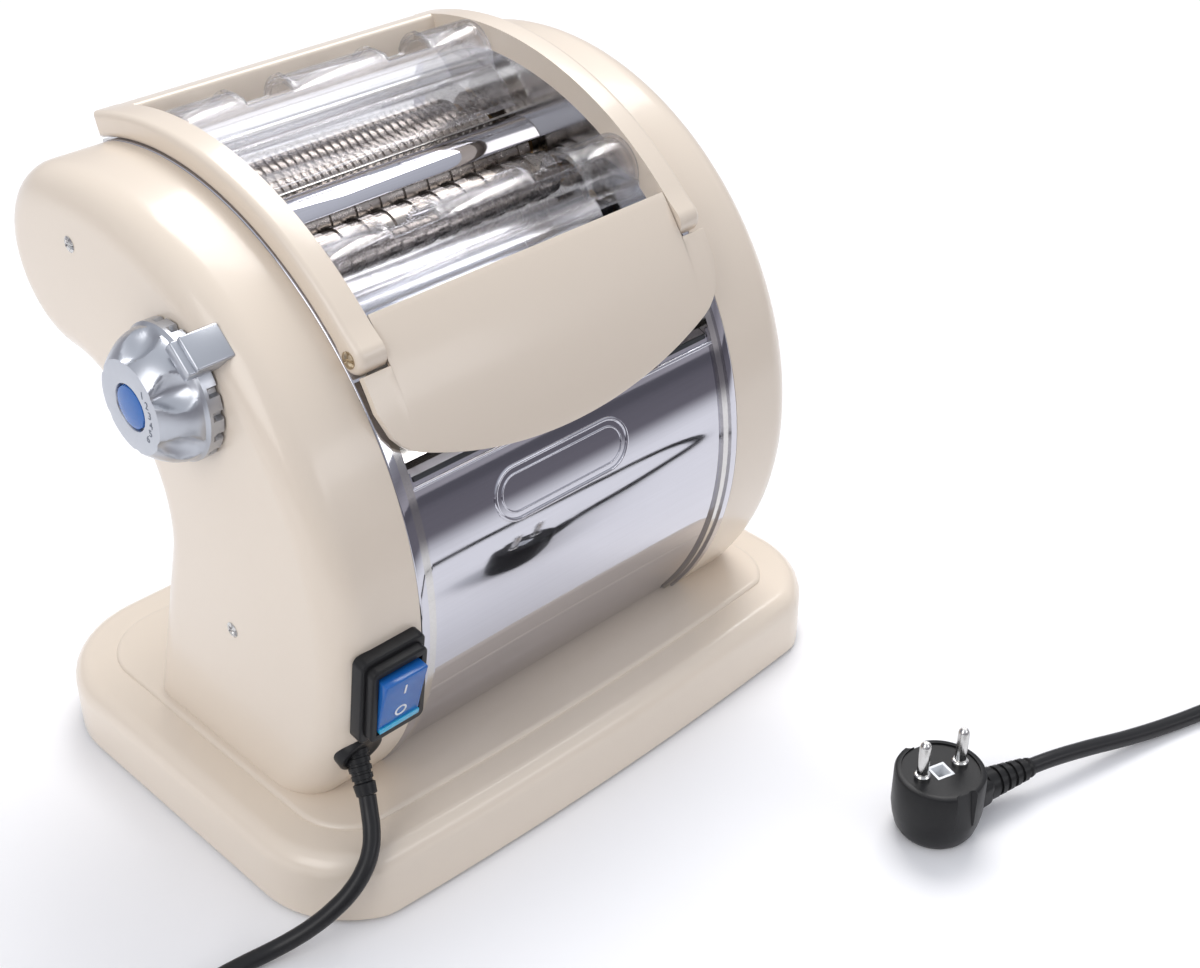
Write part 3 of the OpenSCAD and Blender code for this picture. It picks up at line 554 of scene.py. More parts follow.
def makePlug():
    place = plugPlace()
    bm = bmesh.new()
    radius, height = plugSizes["radius"], plugSizes["height"]
    outline = [(0, 0), (13.5, 0), (15.5, 1), (17, 3.5), (18.2, 8), (radius, 13),
               (radius, height - 1.6), (radius - 0.5, height - 0.5), (radius - 1.6, height), (0, height)]
    verts = [bm.verts.new((r, 0, z)) for r, z in outline]
    edges = [bm.edges.new(pair) for pair in zip(verts, verts[1:])]
    bmesh.ops.spin(bm, geom=verts + edges, cent=(0, 0, 0), axis=(0, 0, 1), angle=turn,
                   steps=96, use_merge=True)
    keyHalf, keyDepth, keyFoot = plugSizes["key"]
    for v in bm.verts:      # two flat keys on the sides, towards the top
        if abs(v.co.x) < keyHalf and v.co.length > keyFoot and v.co.z > keyFoot:
            v.co.y = math.copysign(min(abs(v.co.y), keyDepth), v.co.y)
    neck = bmesh.ops.create_cube(bm, size=1)["verts"]
    bmesh.ops.scale(bm, vec=(24, 19, 15), verts=neck)
    bmesh.ops.translate(bm, vec=(14, 0, 10.5), verts=neck)
    for v in neck:
        if v.co.x > 20:
            v.co.y *= 0.72
            v.co.z = 12 + (v.co.z - 10.5) * 0.78
    roundEdges(bm, {e for v in neck for e in v.link_edges}, 3, 4)
    bmesh.ops.transform(bm, matrix=place, verts=bm.verts)
    shell = settle(bm, "plug_shell", "blackGrain", "frame", ("plug_body",))
    cutter = bmesh.new()
    well = bmesh.ops.create_cone(cutter, cap_ends=True, segments=64, radius1=plugSizes["wellRadius"],
                                 radius2=plugSizes["wellRadius"], depth=plugSizes["wellDepth"])["verts"]
    bmesh.ops.translate(cutter, vec=(0, 0, height), verts=well)
    earth = plugSizes["earthHalf"]
    box(cutter, (-earth, -earth, 20), (earth, earth, height + 1))
    bmesh.ops.transform(cutter, matrix=place, verts=cutter.verts)
    carve(shell, looseObject(cutter, "plug_cut"))

    bm = bmesh.new()
    for side in (-1, 1):
        thick, tip = plugSizes["pinRadius"], plugSizes["pinTop"]
        pin = [(0, 22), (3.4, 22), (3.4, height + 1.2), (2.9, height + 1.8), (thick, height + 1.9),
               (thick, tip - 2.2), (1.9, tip - 0.8), (1.0, tip), (0, tip)]
        verts = [bm.verts.new((r + side * plugSizes["pinGap"], 0, z)) for r, z in pin]
        edges = [bm.edges.new(pair) for pair in zip(verts, verts[1:])]
        bmesh.ops.spin(bm, geom=verts + edges, cent=(side * plugSizes["pinGap"], 0, 0), axis=(0, 0, 1),
                       angle=turn, steps=28, use_merge=True)
    bmesh.ops.transform(bm, matrix=place, verts=bm.verts)
    pins = settle(bm, "plug_contacts", "zincPlate", "frame", ("plug_pins",))

    bm = bmesh.new()
    for part in (((-4.2, -4.2, 20), (4.2, 4.2, 22)), ((-4.2, -4.2, 22), (-3, 4.2, height - 1)),
                 ((3, -4.2, 22), (4.2, 4.2, height - 1)), ((-3, 3, 22), (3, 4.2, height - 1)),
                 ((-3, -4.2, 22), (3, -3, height - 1))):
        box(bm, *part)
    bmesh.ops.transform(bm, matrix=place, verts=bm.verts)
    clip = settle(bm, "earth_clip", "whiteInk", "frame")
    bm = bmesh.new()
    lathe(bm, (0, 0), [(21.6, 0), (21.6, 1.9), (24.5, 1.9), (24.5, 1.2), (22, 1.2), (22, 0)], 24)
    bmesh.ops.rotate(bm, matrix=Matrix.Rotation(-turn / 4, 3, "Y"), verts=bm.verts)
    bmesh.ops.transform(bm, matrix=place, verts=bm.verts)
    socket = settle(bm, "earth_socket", "zincPlate", "frame")

    bm = bmesh.new()
    sleeve = [(0, 0), (0, 7)]
    for i in range(5):
        radius = 6.9 - 0.45 * i
        sleeve += [(2 + 4.2 * i, radius), (4.4 + 4.2 * i, radius - 0.15), (4.6 + 4.2 * i, radius - 1.3),
                   (6 + 4.2 * i, radius - 1.35)]
    sleeve += [(23.6, 4.4), (25, 4), (25, 0)]
    lathe(bm, (0, 0), sleeve, 40)
    bmesh.ops.transform(bm, matrix=place @ Matrix.Translation(plugSizes["sleeveAt"]), verts=bm.verts)
    relief = settle(bm, "plug_sleeve", "blackGrain", "frame", ("plug_relief",))
    return [shell, pins, clip, socket, relief]


# Hook-and-loop strap round the coil
def makeTie():
    bm = bmesh.new()
    reach = lead["coilCentre"][0] + 41.5
    box(bm, (reach - 7.9, lead["coilCentre"][1] - 4, 0.1), (reach + 7.9, lead["coilCentre"][1] + 4, 14.9))
    ends = [f for f in bm.faces if abs(f.normal.y) > 0.9]
    bmesh.ops.delete(bm, geom=ends, context="FACES")
    roundEdges(bm, [e for e in bm.edges if abs(e.verts[0].co.y - e.verts[1].co.y) > 1], 3, 4)
    bmesh.ops.solidify(bm, geom=list(bm.faces), thickness=0.7)
    return settle(bm, "coil_strap", "blackGrain", "frame", ("cord_tie",))


plugParts = makePlug()
tie = makeTie()
print("mains lead made")


# Floor, lights and world
# The floor turns grey in front, past the view, where the chrome mirrors it
def darkenedAhead(paint, near=-0.37, far=-0.62):
    tree = paint.node_tree
    shader = tree.nodes["Principled BSDF"]
    split = tree.nodes.new("ShaderNodeSeparateXYZ")
    tree.links.new(tree.nodes.new("ShaderNodeTexCoord").outputs["Object"], split.inputs[0])
    ramp = addNode(tree, "ShaderNodeMapRange", {"interpolation_type": "SMOOTHSTEP"},
                   From_Min=far, From_Max=near, To_Min=0.0, To_Max=1.0)
    tree.links.new(split.outputs[1], ramp.inputs["Value"])
    painted = shader.inputs["Base Color"].links[0].from_socket
    shaded = mixColor(tree, ramp.outputs[0], shade(0.16, 0.15, 0.17), painted)
    tree.links.new(shaded, shader.inputs["Base Color"])
    return paint


def makeStage():
    bm = bmesh.new()
    bmesh.ops.create_grid(bm, x_segments=1, y_segments=1, size=5)
    mesh = bpy.data.meshes.new("floor")
    bm.to_mesh(mesh)
    bm.free()
    floor = bpy.data.objects.new("floor", mesh)
    scene.collection.objects.link(floor)
    finishes["floorPaint"] = material("floorPaint", skinGroup, {"Specular IOR Level": 0.1},
        {"Color": shade(0.93, 0.93, 0.94), "Shade": shade(0.90, 0.90, 0.92), "Mottle": 0.3,
         "Roughness": 0.8, "Spread": 0.05})
    mesh.materials.append(darkenedAhead(finishes["floorPaint"]))


def makeWorld():
    world = bpy.data.worlds.new("studio")
    world.use_nodes = True
    tree = world.node_tree
    ramp = tree.nodes.new("ShaderNodeValToRGB")
    split = tree.nodes.new("ShaderNodeSeparateXYZ")
    tree.links.new(tree.nodes.new("ShaderNodeTexCoord").outputs["Generated"], split.inputs[0])
    tree.links.new(split.outputs[2], ramp.inputs[0])
    stops = ramp.color_ramp.elements
    stops[0].position, stops[0].color = 0.0, shade(0.55, 0.53, 0.58)
    stops[1].position, stops[1].color = 0.9, shade(0.90, 0.93, 1.0)
    for place, tone in ((0.12, shade(0.30, 0.29, 0.33)), (0.3, shade(0.56, 0.57, 0.62))):
        stops.new(place).color = tone
    tree.links.new(ramp.outputs[0], tree.nodes["Background"].inputs["Color"])
    tree.nodes["Background"].inputs["Strength"].default_value = 0.86
    scene.world = world


def areaLight(name, at, target, size, watts, tint):
    data = bpy.data.lights.new(name, "AREA")
    data.shape, data.size, data.size_y = "RECTANGLE", size[0], size[1]
    data.energy, data.color = watts, tint
    light = bpy.data.objects.new(name, data)
    scene.collection.objects.link(light)
    light.location = at
    light.rotation_euler = (Vector(target) - Vector(at)).to_track_quat("-Z", "Y").to_euler()


makeStage()
makeWorld()
areaLight("keySoftbox", (0.75, 0.45, 1.5), (0, 0, 0.1), (1.0, 0.8), 17, (1, 0.98, 0.96))
areaLight("leftSoftbox", (-1.5, -0.3, 1.0), (0, 0, 0.12), (0.9, 1.1), 9, (1, 0.98, 0.96))
areaLight("frontStrip", (0.5, -1.7, 0.8), (0, 0, 0.12), (1.2, 0.35), 3.5, (0.98, 0.98, 1))
print("stage made")


def mirrorX(bm):
    copied = bmesh.ops.duplicate(bm, geom=bm.verts[:] + bm.edges[:] + bm.faces[:])
    bmesh.ops.scale(bm, vec=(-1, 1, 1), verts=vertsOf(copied, "geom"))


# Point on a circle about (y, z), angle counted from the back upwards
def onCircle(centre, radius, degrees):
    angle = math.radians(degrees)
    return centre[0] + radius * math.cos(angle), centre[1] + radius * math.sin(angle)


# Base: one moulding with a rounded top rim and a low plinth round the body
baseForm = {"half": (150, 110), "corner": 48, "bow": 1800, "foot": 2, "rim": (8, 9),
            "plinth": (19, 1.6, 2.5)}


def baseOutline(inset=0.0):
    halfX, halfY = (v - inset for v in baseForm["half"])
    corner = baseForm["corner"] - inset

    def bowAt(x):
        return -halfY + x * x / 2 / baseForm["bow"]

    rounded, arcSteps, bowSteps = [], 14, 16
    for sx, sy, start in ((1, -1, -90), (1, 1, 0), (-1, 1, 90), (-1, -1, 180)):
        for i in range(arcSteps + 1):
            angle = math.radians(start + i * 90 / arcSteps)
            x = sx * (halfX - corner) + corner * math.cos(angle)
            rounded.append((x, max(sy * (halfY - corner) + corner * math.sin(angle), bowAt(x))))
    between = [(-1 + 2 * i / bowSteps) * (halfX - corner) for i in range(1, bowSteps)]
    return rounded + [(x, bowAt(x)) for x in between]


def makeBase():
    bm = bmesh.new()
    rimIn, rimUp = baseForm["rim"]
    plinthIn, plinthUp, plinthRim = baseForm["plinth"]
    for inset, low, high, rim in ((0, baseForm["foot"], baseTop, (rimIn, rimUp)),
                                  (plinthIn, 28, baseTop + plinthUp, (plinthRim, plinthUp))):
        verts = [bm.verts.new((*p, low)) for p in baseOutline(inset)]
        face = bm.faces.new(verts)
        top = extrudeFace(bm, face, (0, 0, high - low - rim[1]))
        if inset == 0:
            face.normal_flip()
        crown(bm, top, rim[0], rim[1], 8)
    return settle(bm, "base_moulding", "creamEnamel", "frame", ("base",), 50)


# Comma-shaped end housings and their trims; the plates inside them stay frame nodes, finished further down
head = {"centre": (69.6, 224), "radius": 40}
neck = {"centre": (71, 134), "radius": 50}
housingBlend = 15
screwPlaces = ((54, 240), (-25, 102))


def housingMoves(grow=0.0):
    start = onCircle(bodyAxis, bodyRadius + grow, 232)
    return start, [(bodyAxis, -154.3, 72), (head["centre"], -166.8, 44), (neck["centre"], 106.4, 26),
                   (57.4 + grow, 10)]


def housingShape(bm, x0, x1, rim, steps, grow=0.0):
    start, moves = housingMoves(grow)
    face = closeChain(bm, chain(bm, x0, start, moves))
    top = extrudeFace(bm, face, (x1 - x0 - rim, 0, 0))
    bmesh.ops.recalc_face_normals(bm, faces=bm.faces)
    crown(bm, top, rim, rim, steps)


def cutLevel(bm, z):
    bmesh.ops.bisect_plane(bm, geom=bm.verts[:] + bm.edges[:] + bm.faces[:], plane_co=(0, 0, z),
                           plane_no=(0, 0, 1), clear_inner=True)


def makeHousings():
    for side, name in ((1, "right"), (-1, "left")):
        bm = bmesh.new()
        housingShape(bm, housingIn, housingEnd, housingBlend, 10)
        cutLevel(bm, baseTop)
        bmesh.ops.scale(bm, vec=(side, 1, 1), verts=bm.verts)
        settle(bm, name + "_housing_shell", "creamEnamel", "frame",
               (name + "_housing",), 40)
        bm = bmesh.new()
        housingShape(bm, plateOut, housingIn, 0.9, 3, 0.3)
        cutLevel(bm, baseTop)
        bmesh.ops.scale(bm, vec=(side, 1, 1), verts=bm.verts)
        settle(bm, name + "_edge_trim", "mirrorChrome", "frame", (name + "_trim",), 40)


# Domed screw head with a cross recess, at (x, y, z) and facing along the matrix's +X
def screwHead(bm, place, radius=3.3, height=1.1, slot=0.55):
    fresh = set(bm.verts)
    profile = [(0, 0), (0, radius), (height * 0.35, radius), (height * 0.8, radius * 0.72),
               (height, radius * 0.35), (height, 0)]
    lathe(bm, (0, 0), profile, 28)
    for v in bm.verts:
        if v not in fresh and v.co.x > height * 0.6:
            if min(abs(v.co.y), abs(v.co.z)) < slot and max(abs(v.co.y), abs(v.co.z)) < radius * 0.75:
                v.co.x -= height * 0.6
    bmesh.ops.transform(bm, matrix=place, verts=[v for v in bm.verts if v not in fresh])


def makeScrews():
    bm = bmesh.new()
    for y, z in screwPlaces:
        screwHead(bm, Matrix.Translation((housingEnd - 0.2, y, z)))
    mirrorX(bm)
    settle(bm, "housing_screw_heads", "zincPlate", "frame", ("housing_screws",))
    bm = bmesh.new()
    screwHead(bm, Matrix.Translation((88, *apronPin)), 3.4, 1.3)
    lathe(bm, apronPin, [(70.5, 0), (70.5, 2), (88, 2), (88, 0)], 20)
    mirrorX(bm)
    settle(bm, "pivot_screw_heads", "brassScrew", "frame", ("pivot_screws",))


# Curved chrome front with its badge outline, slots and rolled edges
panel = {"radius": 140, "low": -40.7, "top": 21, "half": 80,
         "badge": {"centre": (-9.5, 12), "half": (35, 11), "lines": ((0, 0.9), (3.2, 0.5))},
         "slots": ((23.3, 0.9), (21.8, 0.7)), "rolled": 20.3}


def makePanel():
    bm = bmesh.new()
    start = onCircle(bodyAxis, panel["radius"], 180 - panel["low"] - 0.4)
    lip = onCircle(bodyAxis, panel["radius"] + 0.2, 180 - panel["top"] - 0.6)
    chain(bm, -panel["half"] + 0.2, start,
          [(bodyAxis, -(panel["top"] - panel["low"]), 72), (lip[0] + 5.6, lip[1] + 1.2)])
    edges = [e for e in bm.edges if e.is_wire]
    grown = bmesh.ops.extrude_edge_only(bm, edges=edges)
    bmesh.ops.translate(bm, vec=(panel["half"] * 2 - 0.4, 0, 0), verts=vertsOf(grown, "geom"))
    bmesh.ops.recalc_face_normals(bm, faces=bm.faces)
    if sum(f.normal.y for f in bm.faces) > 0:
        bmesh.ops.reverse_faces(bm, faces=bm.faces)
    bmesh.ops.solidify(bm, geom=list(bm.faces), thickness=1.4)
    settle(bm, "chrome_front", "mirrorChrome", "frame", ("front_panel",))

    # raised line of the badge, with blank space where lettering would be
    bm = bmesh.new()
    halfX, halfZ = panel["badge"]["half"]
    ring = []
    straight = halfX - halfZ
    for side in (1, -1):
        for i in range(25):
            angle = math.radians(-90 * side + i * 180 / 24)
            ring.append((side * straight + halfZ * math.cos(angle), halfZ * math.sin(angle)))
    for shrink, thick in panel["badge"]["lines"]:
        sections = []
        for x, z in ring:
            scale = 1 - shrink / halfZ
            end = math.copysign(straight, x)
            px = (x - end) * scale + end
            angle = panel["badge"]["centre"][1] + math.degrees(z * scale / panel["radius"])
            sections.append((panel["badge"]["centre"][0] + px, angle, math.atan2(z, x - end)))
        rings = []
        for px, angle, around in sections:
            loop = bmesh.ops.create_circle(bm, segments=10, radius=thick)["verts"]
            bmesh.ops.scale(bm, vec=(1, 0.8, 1), verts=loop)
            turned = (onFront(px, angle) @ Matrix.Translation((0, -panel["radius"], 0))
                      @ Matrix.Rotation(-around, 4, "Y"))
            bmesh.ops.transform(bm, matrix=turned, verts=loop)
            rings.append({e for v in loop for e in v.link_edges})
        for first, second in zip(rings, rings[1:] + rings[:1]):
            bmesh.ops.bridge_loops(bm, edges=list(first | second))
    settle(bm, "badge_outline", "mirrorChrome", "frame")

    # Two dark strips laid on the chrome stand for the slots: painted shade where the openings are
    bm = bmesh.new()
    for angle, high in panel["slots"]:
        made = box(bm, (-panel["half"] + 2, -panel["radius"] - 0.25, -high),
                   (panel["half"] - 2, -panel["radius"] + 1, high))
        bmesh.ops.transform(bm, matrix=onFront(0, angle - 1.6), verts=made)
    settle(bm, "panel_slot_shade", "darkPaintAndSlotShade", "frame")
    bm = bmesh.new()
    for side in (-1, 1):
        rolled = onCircle(bodyAxis, panel["radius"] + 0.4, 180 - panel["rolled"])
        lathe(bm, rolled, [(-80, 0), (-80, 0.9), (80, 0.9), (80, 0)], 14)
        chain(bm, side * 79.2, onCircle(bodyAxis, panel["radius"] + 0.3, 180 - panel["low"] - 0.4),
              [(bodyAxis, -(panel["top"] - panel["low"]) - 1.5, 60)])
        edges = [e for e in bm.edges if e.is_wire]
        grown = bmesh.ops.extrude_edge_only(bm, edges=edges)
        bmesh.ops.translate(bm, vec=(side * 0.9, 0, 0), verts=vertsOf(grown, "geom"))
        bmesh.ops.solidify(bm, geom=facesOf(grown), thickness=0.8)
    settle(bm, "panel_edge_beads", "mirrorChrome", "frame")


# Rails, cross bar, apron
rail = {"inner": 142.4, "outer": 153, "x": (76, 88), "from": 42.5, "to": 108, "round": 6.6, "rim": 3}


def makeTopFrame():
    bm = bmesh.new()
    facing = math.degrees(math.atan2(apronPin[1] - bodyAxis[1], apronPin[0] - bodyAxis[0]))
    start = onCircle(bodyAxis, rail["outer"], 180 - rail["to"])
    sweep = rail["to"] - rail["from"] - 2.2
    face = closeChain(bm, chain(bm, rail["x"][0], start, [
        (bodyAxis, sweep, 48), onCircle(apronPin, rail["round"], facing - 14), (apronPin, 186, 26),
        onCircle(bodyAxis, rail["inner"], 180 - rail["from"] - 2.2), (bodyAxis, -sweep, 48)]))
    top = extrudeFace(bm, face, (rail["x"][1] - rail["x"][0] - rail["rim"], 0, 0))
    bmesh.ops.recalc_face_normals(bm, faces=bm.faces)
    crown(bm, top, rail["rim"], rail["rim"], 6)
    mirrorX(bm)
    start = onCircle(bodyAxis, rail["outer"], 180 - rail["to"])
    bar = bmesh.new()
    verts = chain(bar, -rail["x"][0], start, [(bodyAxis, rail["to"] - 103, 6), onCircle(bodyAxis, 136, 77),
                                              (bodyAxis, -5, 6)])
    extrudeFace(bar, closeChain(bar, verts), (2 * rail["x"][0], 0, 0))
    bmesh.ops.recalc_face_normals(bar, faces=bar.faces)
    lengthwise = [e for e in sharpEdges(bar, 50) if abs(e.verts[0].co.x - e.verts[1].co.x) > 10]
    roundEdges(bar, lengthwise, 2, 4)
    joined = bpy.data.meshes.new("bar")
    bar.to_mesh(joined)
    bar.free()
    bm.from_mesh(joined)
    bpy.data.meshes.remove(joined)
    settle(bm, "top_rails", "creamEnamel", "frame", ("top_frame",), 40)


apronForm = {"centre": (53.1, 141.55), "radius": 145, "thick": 3, "top": 39.5, "shoulder": 31.7,
             "inner": 75.5, "half": 88, "smile": (362, 190), "corner": 12}


def makeApron():
    a = apronForm
    bm = bmesh.new()
    columns, rows = 64, 22
    bmesh.ops.create_grid(bm, x_segments=columns, y_segments=rows, size=1)
    for v in bm.verts:
        share, high = v.co.x, (v.co.y + 1) / 2
        step = abs(share) * columns / 2
        if step > columns / 2 - 4.5:      # four columns beyond the shoulder on each side
            x = a["inner"] + 0.15 + (a["half"] - a["inner"] - 0.15) * (step - (columns / 2 - 4)) / 4
        else:
            x = (a["inner"] - 0.15) * step / (columns / 2 - 5)
        x = math.copysign(x, share)
        low = a["smile"][0] - math.sqrt(a["smile"][1] ** 2 - x * x)
        past = max(abs(x) - a["half"] + a["corner"], 0)
        low += a["corner"] - math.sqrt(a["corner"] ** 2 - past * past)
        lowAngle = math.degrees(math.asin((low - a["centre"][1]) / a["radius"]))
        topAngle = a["top"] if abs(x) < a["inner"] else a["shoulder"]
        y, z = onCircle(a["centre"], a["radius"], 180 - (lowAngle + (topAngle - lowAngle) * high))
        v.co = (x, y, z)
    bmesh.ops.recalc_face_normals(bm, faces=bm.faces)
    if sum(f.normal.y for f in bm.faces) > 0:
        bmesh.ops.reverse_faces(bm, faces=bm.faces)
    bmesh.ops.solidify(bm, geom=list(bm.faces), thickness=a["thick"])
    roundEdges(bm, sharpEdges(bm, 60), 1.0, 3)
    fresh = set(bm.verts)
    for side in (-1, 1):
        lathe(bm, apronPin, [(side * 70.7, 0), (side * 70.7, 5.2), (side * 71.2, 5.8), (side * 75.2, 5.8),
                             (side * 75.6, 5.4), (side * 75.6, 0)], 32)
    for v in bm.verts:
        if v not in fresh:
            away = math.hypot(v.co.y - a["centre"][0], v.co.z - a["centre"][1])
            if away > a["radius"] - 0.6:
                shrink = (a["radius"] - 0.6) / away
                v.co.y = a["centre"][0] + (v.co.y - a["centre"][0]) * shrink
                v.co.z = a["centre"][1] + (v.co.z - a["centre"][1]) * shrink
    settle(bm, "apron_shell", "creamEnamel", "apron", ("apron",), 40)


# Clear half-tube guards with their windows
guards = {"radius": 14, "wall": 2.2, "half": 75.3, "front": (-32, 237), "rear": (56, 263),
          "legs": -16.6, "window": (24, 46), "windowFrom": (-7.9, 3), "cap": 2.2,
          "pin": (2.9, 79.6), "collars": (-48, -22, 22, 48), "collarWide": 2.4, "collarHigh": 1.3}


def makeGuard(name, centre, body, skirt):
    g = guards
    bm = bmesh.new()
    start = onCircle(centre, g["radius"], g["legs"])
    chain(bm, -g["half"], start, [(centre, 29, 6), (centre, 112.4, 28), (centre, 71.8, 16)])
    edges = [e for e in bm.edges if e.is_wire]
    inner, outer = g["window"]
    columns = [-g["half"], -outer, -inner, inner, outer, g["half"]]
    for x0, x1 in zip(columns, columns[1:]):
        grown = bmesh.ops.extrude_edge_only(bm, edges=edges)
        bmesh.ops.translate(bm, vec=(x1 - x0, 0, 0), verts=vertsOf(grown, "geom"))
        edges = [e for e in grown["geom"] if isinstance(e, bmesh.types.BMEdge)]
        edges = [e for e in edges if abs(e.verts[0].co.x - e.verts[1].co.x) < 0.01]
    bmesh.ops.remove_doubles(bm, verts=bm.verts, dist=0.001)
    middles = {f: f.calc_center_median() for f in bm.faces}
    opened = [f for f, at in middles.items() if inner < abs(at.x) < outer
              and at.y > centre[0] + g["windowFrom"][0] and at.z > centre[1] + g["windowFrom"][1]]
    bmesh.ops.delete(bm, geom=opened, context="FACES")
    bmesh.ops.recalc_face_normals(bm, faces=bm.faces)
    if sum((f.calc_center_median().z - centre[1]) * f.normal.z for f in bm.faces) < 0:
        bmesh.ops.reverse_faces(bm, faces=bm.faces)
    bmesh.ops.solidify(bm, geom=list(bm.faces), thickness=g["wall"])
    roundEdges(bm, sharpEdges(bm, 60), 0.5, 2)
    for side in (-1, 1):
        start = onCircle(centre, g["radius"] - g["wall"] - 0.1, g["legs"])
        verts = chain(bm, side * (g["half"] - g["cap"] - 0.1), start, [(centre, 180 - 2 * g["legs"], 36)])
        extrudeFace(bm, closeChain(bm, verts), (side * g["cap"], 0, 0))
        thick, end = g["pin"]
        lathe(bm, centre, [(side * (g["half"] + 0.1), 0), (side * (g["half"] + 0.1), thick),
                           (side * (end - 0.4), thick), (side * end, thick - 0.4), (side * end, 0)], 20)
    for x in g["collars"]:             # raised beside the windows
        verts = chain(bm, x - g["collarWide"] / 2, onCircle(centre, g["radius"] - 0.2, 8), [
            (centre, 118, 24), onCircle(centre, g["radius"] + g["collarHigh"], 124), (centre, -114, 24)])
        extrudeFace(bm, closeChain(bm, verts), (g["collarWide"], 0, 0))
    for v in bm.verts:                 # the collars stay below the machine's top
        v.co.z = min(v.co.z, guards["rear"][1] + g["radius"] - 0.02)
    verts = chain(bm, -g["half"], skirt[0], skirt[1:])
    extrudeFace(bm, closeChain(bm, verts), (2 * g["half"], 0, 0))
    return settle(bm, name + "_clear", "clearPlastic", body, (name,), 40)


# Knob with scooped sides, notched rim, figures and a blue insert
knob = {"centre": (-13.8, 207), "back": -127.5, "front": -149, "radius": 27, "notches": 18,
        "notchDeep": 2.4, "rim": 7.4, "wall": 14, "lean": 7.5, "scoopDeep": 5.2, "scoopWide": 17}


def makeKnob():
    k = knob
    bm = bmesh.new()
    back, front, r = k["back"], k["front"], k["radius"]
    profile = [(back, 5.2), (back, r - 0.5), (back - 0.5, r)]
    profile += [(back - 0.5 - 5.5 * i / 4, r) for i in range(1, 5)]
    profile += [(back - 6.6, r - 0.6), (back - k["rim"], r - 1.2)]
    for i in range(1, 15):       # side wall that leans in and turns over the domed face
        share = i / 14
        profile.append((back - k["rim"] - k["wall"] * share, r - 1.2 - k["lean"] * share ** 1.9))
    profile += [(front - 0.02, 17.2), (front - 0.1, 14), (front - 0.1, 11), (front, 9.4), (front + 0.9, 8.9),
                (front + 2, 8.8), (front + 2, 0)]
    lathe(bm, k["centre"], profile, 180)
    for v in bm.verts:
        dy, dz = v.co.y - k["centre"][0], v.co.z - k["centre"][1]
        away, angle = math.hypot(dy, dz), math.degrees(math.atan2(dz, dy))
        if away < 1:
            continue
        fresh = away
        pitch = 360 / k["notches"]
        near = (angle + pitch / 2) % pitch - pitch / 2
        if v.co.x > back - 4.2 and away > r - 1 and abs(near) < 3.3:
            fresh = r - k["notchDeep"]
        part = angle % 60 - 30
        high = (back - k["rim"] - v.co.x) / k["wall"]
        if 0 < high <= 1.02 and away > 12:
            width = k["scoopWide"] * math.sin(math.pi * min(max(0.12 + high * 0.78, 0), 1)) + 1
            depth = max(1 - (part / width) ** 2, 0)
            ends = math.sin(math.pi * min(max(high * 0.92 + 0.06, 0), 1)) ** 0.8
            fresh = away - k["scoopDeep"] * depth * ends
        v.co.y, v.co.z = k["centre"][0] + dy * fresh / away, k["centre"][1] + dz * fresh / away
    settle(bm, "knob_cap", "dialSilver", "dial", ("dial_knob",), 32)
    bm = bmesh.new()
    lathe(bm, k["centre"], [(front + 1.9, 0), (front + 1.9, 8.5), (front + 0.6, 8.5), (front + 0.1, 8.2),
                            (front - 0.25, 6.5), (front - 0.45, 3.5), (front - 0.5, 0)], 56)
    settle(bm, "knob_insert", "blueLens", "dial", ("dial_insert",))


# Pointer block on the housing's rounded edge, stepped down towards the dial
def makePointer():
    lean = (Matrix.Translation((-housingEnd, *knob["centre"])) @ Matrix.Rotation(math.radians(42), 4, "X"))
    bm = bmesh.new()
    for low, high in (((-13, -7, 28), (3.5, 7, 34)), ((-10, -7, 33), (6, 7, 36))):
        verts = box(bm, low, high)
        roundEdges(bm, {e for v in verts for e in v.link_edges}, 0.9, 3)
    bmesh.ops.transform(bm, matrix=lean, verts=bm.verts)
    settle(bm, "pointer_block", "dialSilver", "frame", ("index_block",))


# Flat figures turned into a thin mesh on the plane that a matrix gives
def figure(text, size, matrix, name, finish, body, thick=0.12):
    curve = bpy.data.curves.new(name + "_outline", "FONT")
    curve.body, curve.size, curve.extrude = text, size, thick
    curve.align_x, curve.align_y = "CENTER", "CENTER"
    source = bpy.data.objects.new(name + "_outline", curve)
    scene.collection.objects.link(source)
    mesh = bpy.data.meshes.new_from_object(source)
    bpy.data.objects.remove(source)
    bm = bmesh.new()
    bm.from_mesh(mesh)
    bpy.data.meshes.remove(mesh)
    bmesh.ops.transform(bm, matrix=matrix, verts=bm.verts)
    return settle(bm, name, finish, body)


def makeFigures():
    facing = Matrix.Rotation(-turn / 4, 4, "Z") @ Matrix.Rotation(turn / 4, 4, "X")
    for i in range(6):
        place = Matrix.Translation((knob["front"] - 0.1, *onCircle(knob["centre"], 13.2, 138 + i * 17)))
        figure(str(i + 1), 4.2, place @ facing, "dial_figure_%d" % (i + 1), "printInk", "dial")
    for text, z in (("I", 6.2), ("O", -6.6)):
        lean = Matrix.Rotation(math.radians(10 if z > 0 else 7), 4, "X")
        place = (onFront(switch["x"], switch["angle"])
                 @ Matrix.Translation((0, -153.25 if z > 0 else -151.15, z)) @ lean
                 @ Matrix.Rotation(turn / 4, 4, "X"))
        figure(text, 7.5, place, "rocker_mark_" + ("on" if z > 0 else "off"), "whiteInk", "rocker")


# Mains switch: two-step frame and a rocker whose lower edge is clear
switch = {"x": -105, "angle": -9, "rockerHalf": 9.9,
          "steps": (((-15, -146, -21), (15, -140.2, 21)), ((-13, -150, -18.5), (13, -145, 18.5))),
          "opening": ((-10.3, -155, -15.2), (10.3, -143, 15.2)),
          "rocker": ((-146.5, -13.5), (-150.2, -13.5), (-151.2, -5), (-152.0, 0), (-153.2, 7),
                     (-154.4, 13.5), (-146.5, 13.5)),
          "edge": ((-9.5, -151.1, -14.2), (9.5, -146, -11.6))}


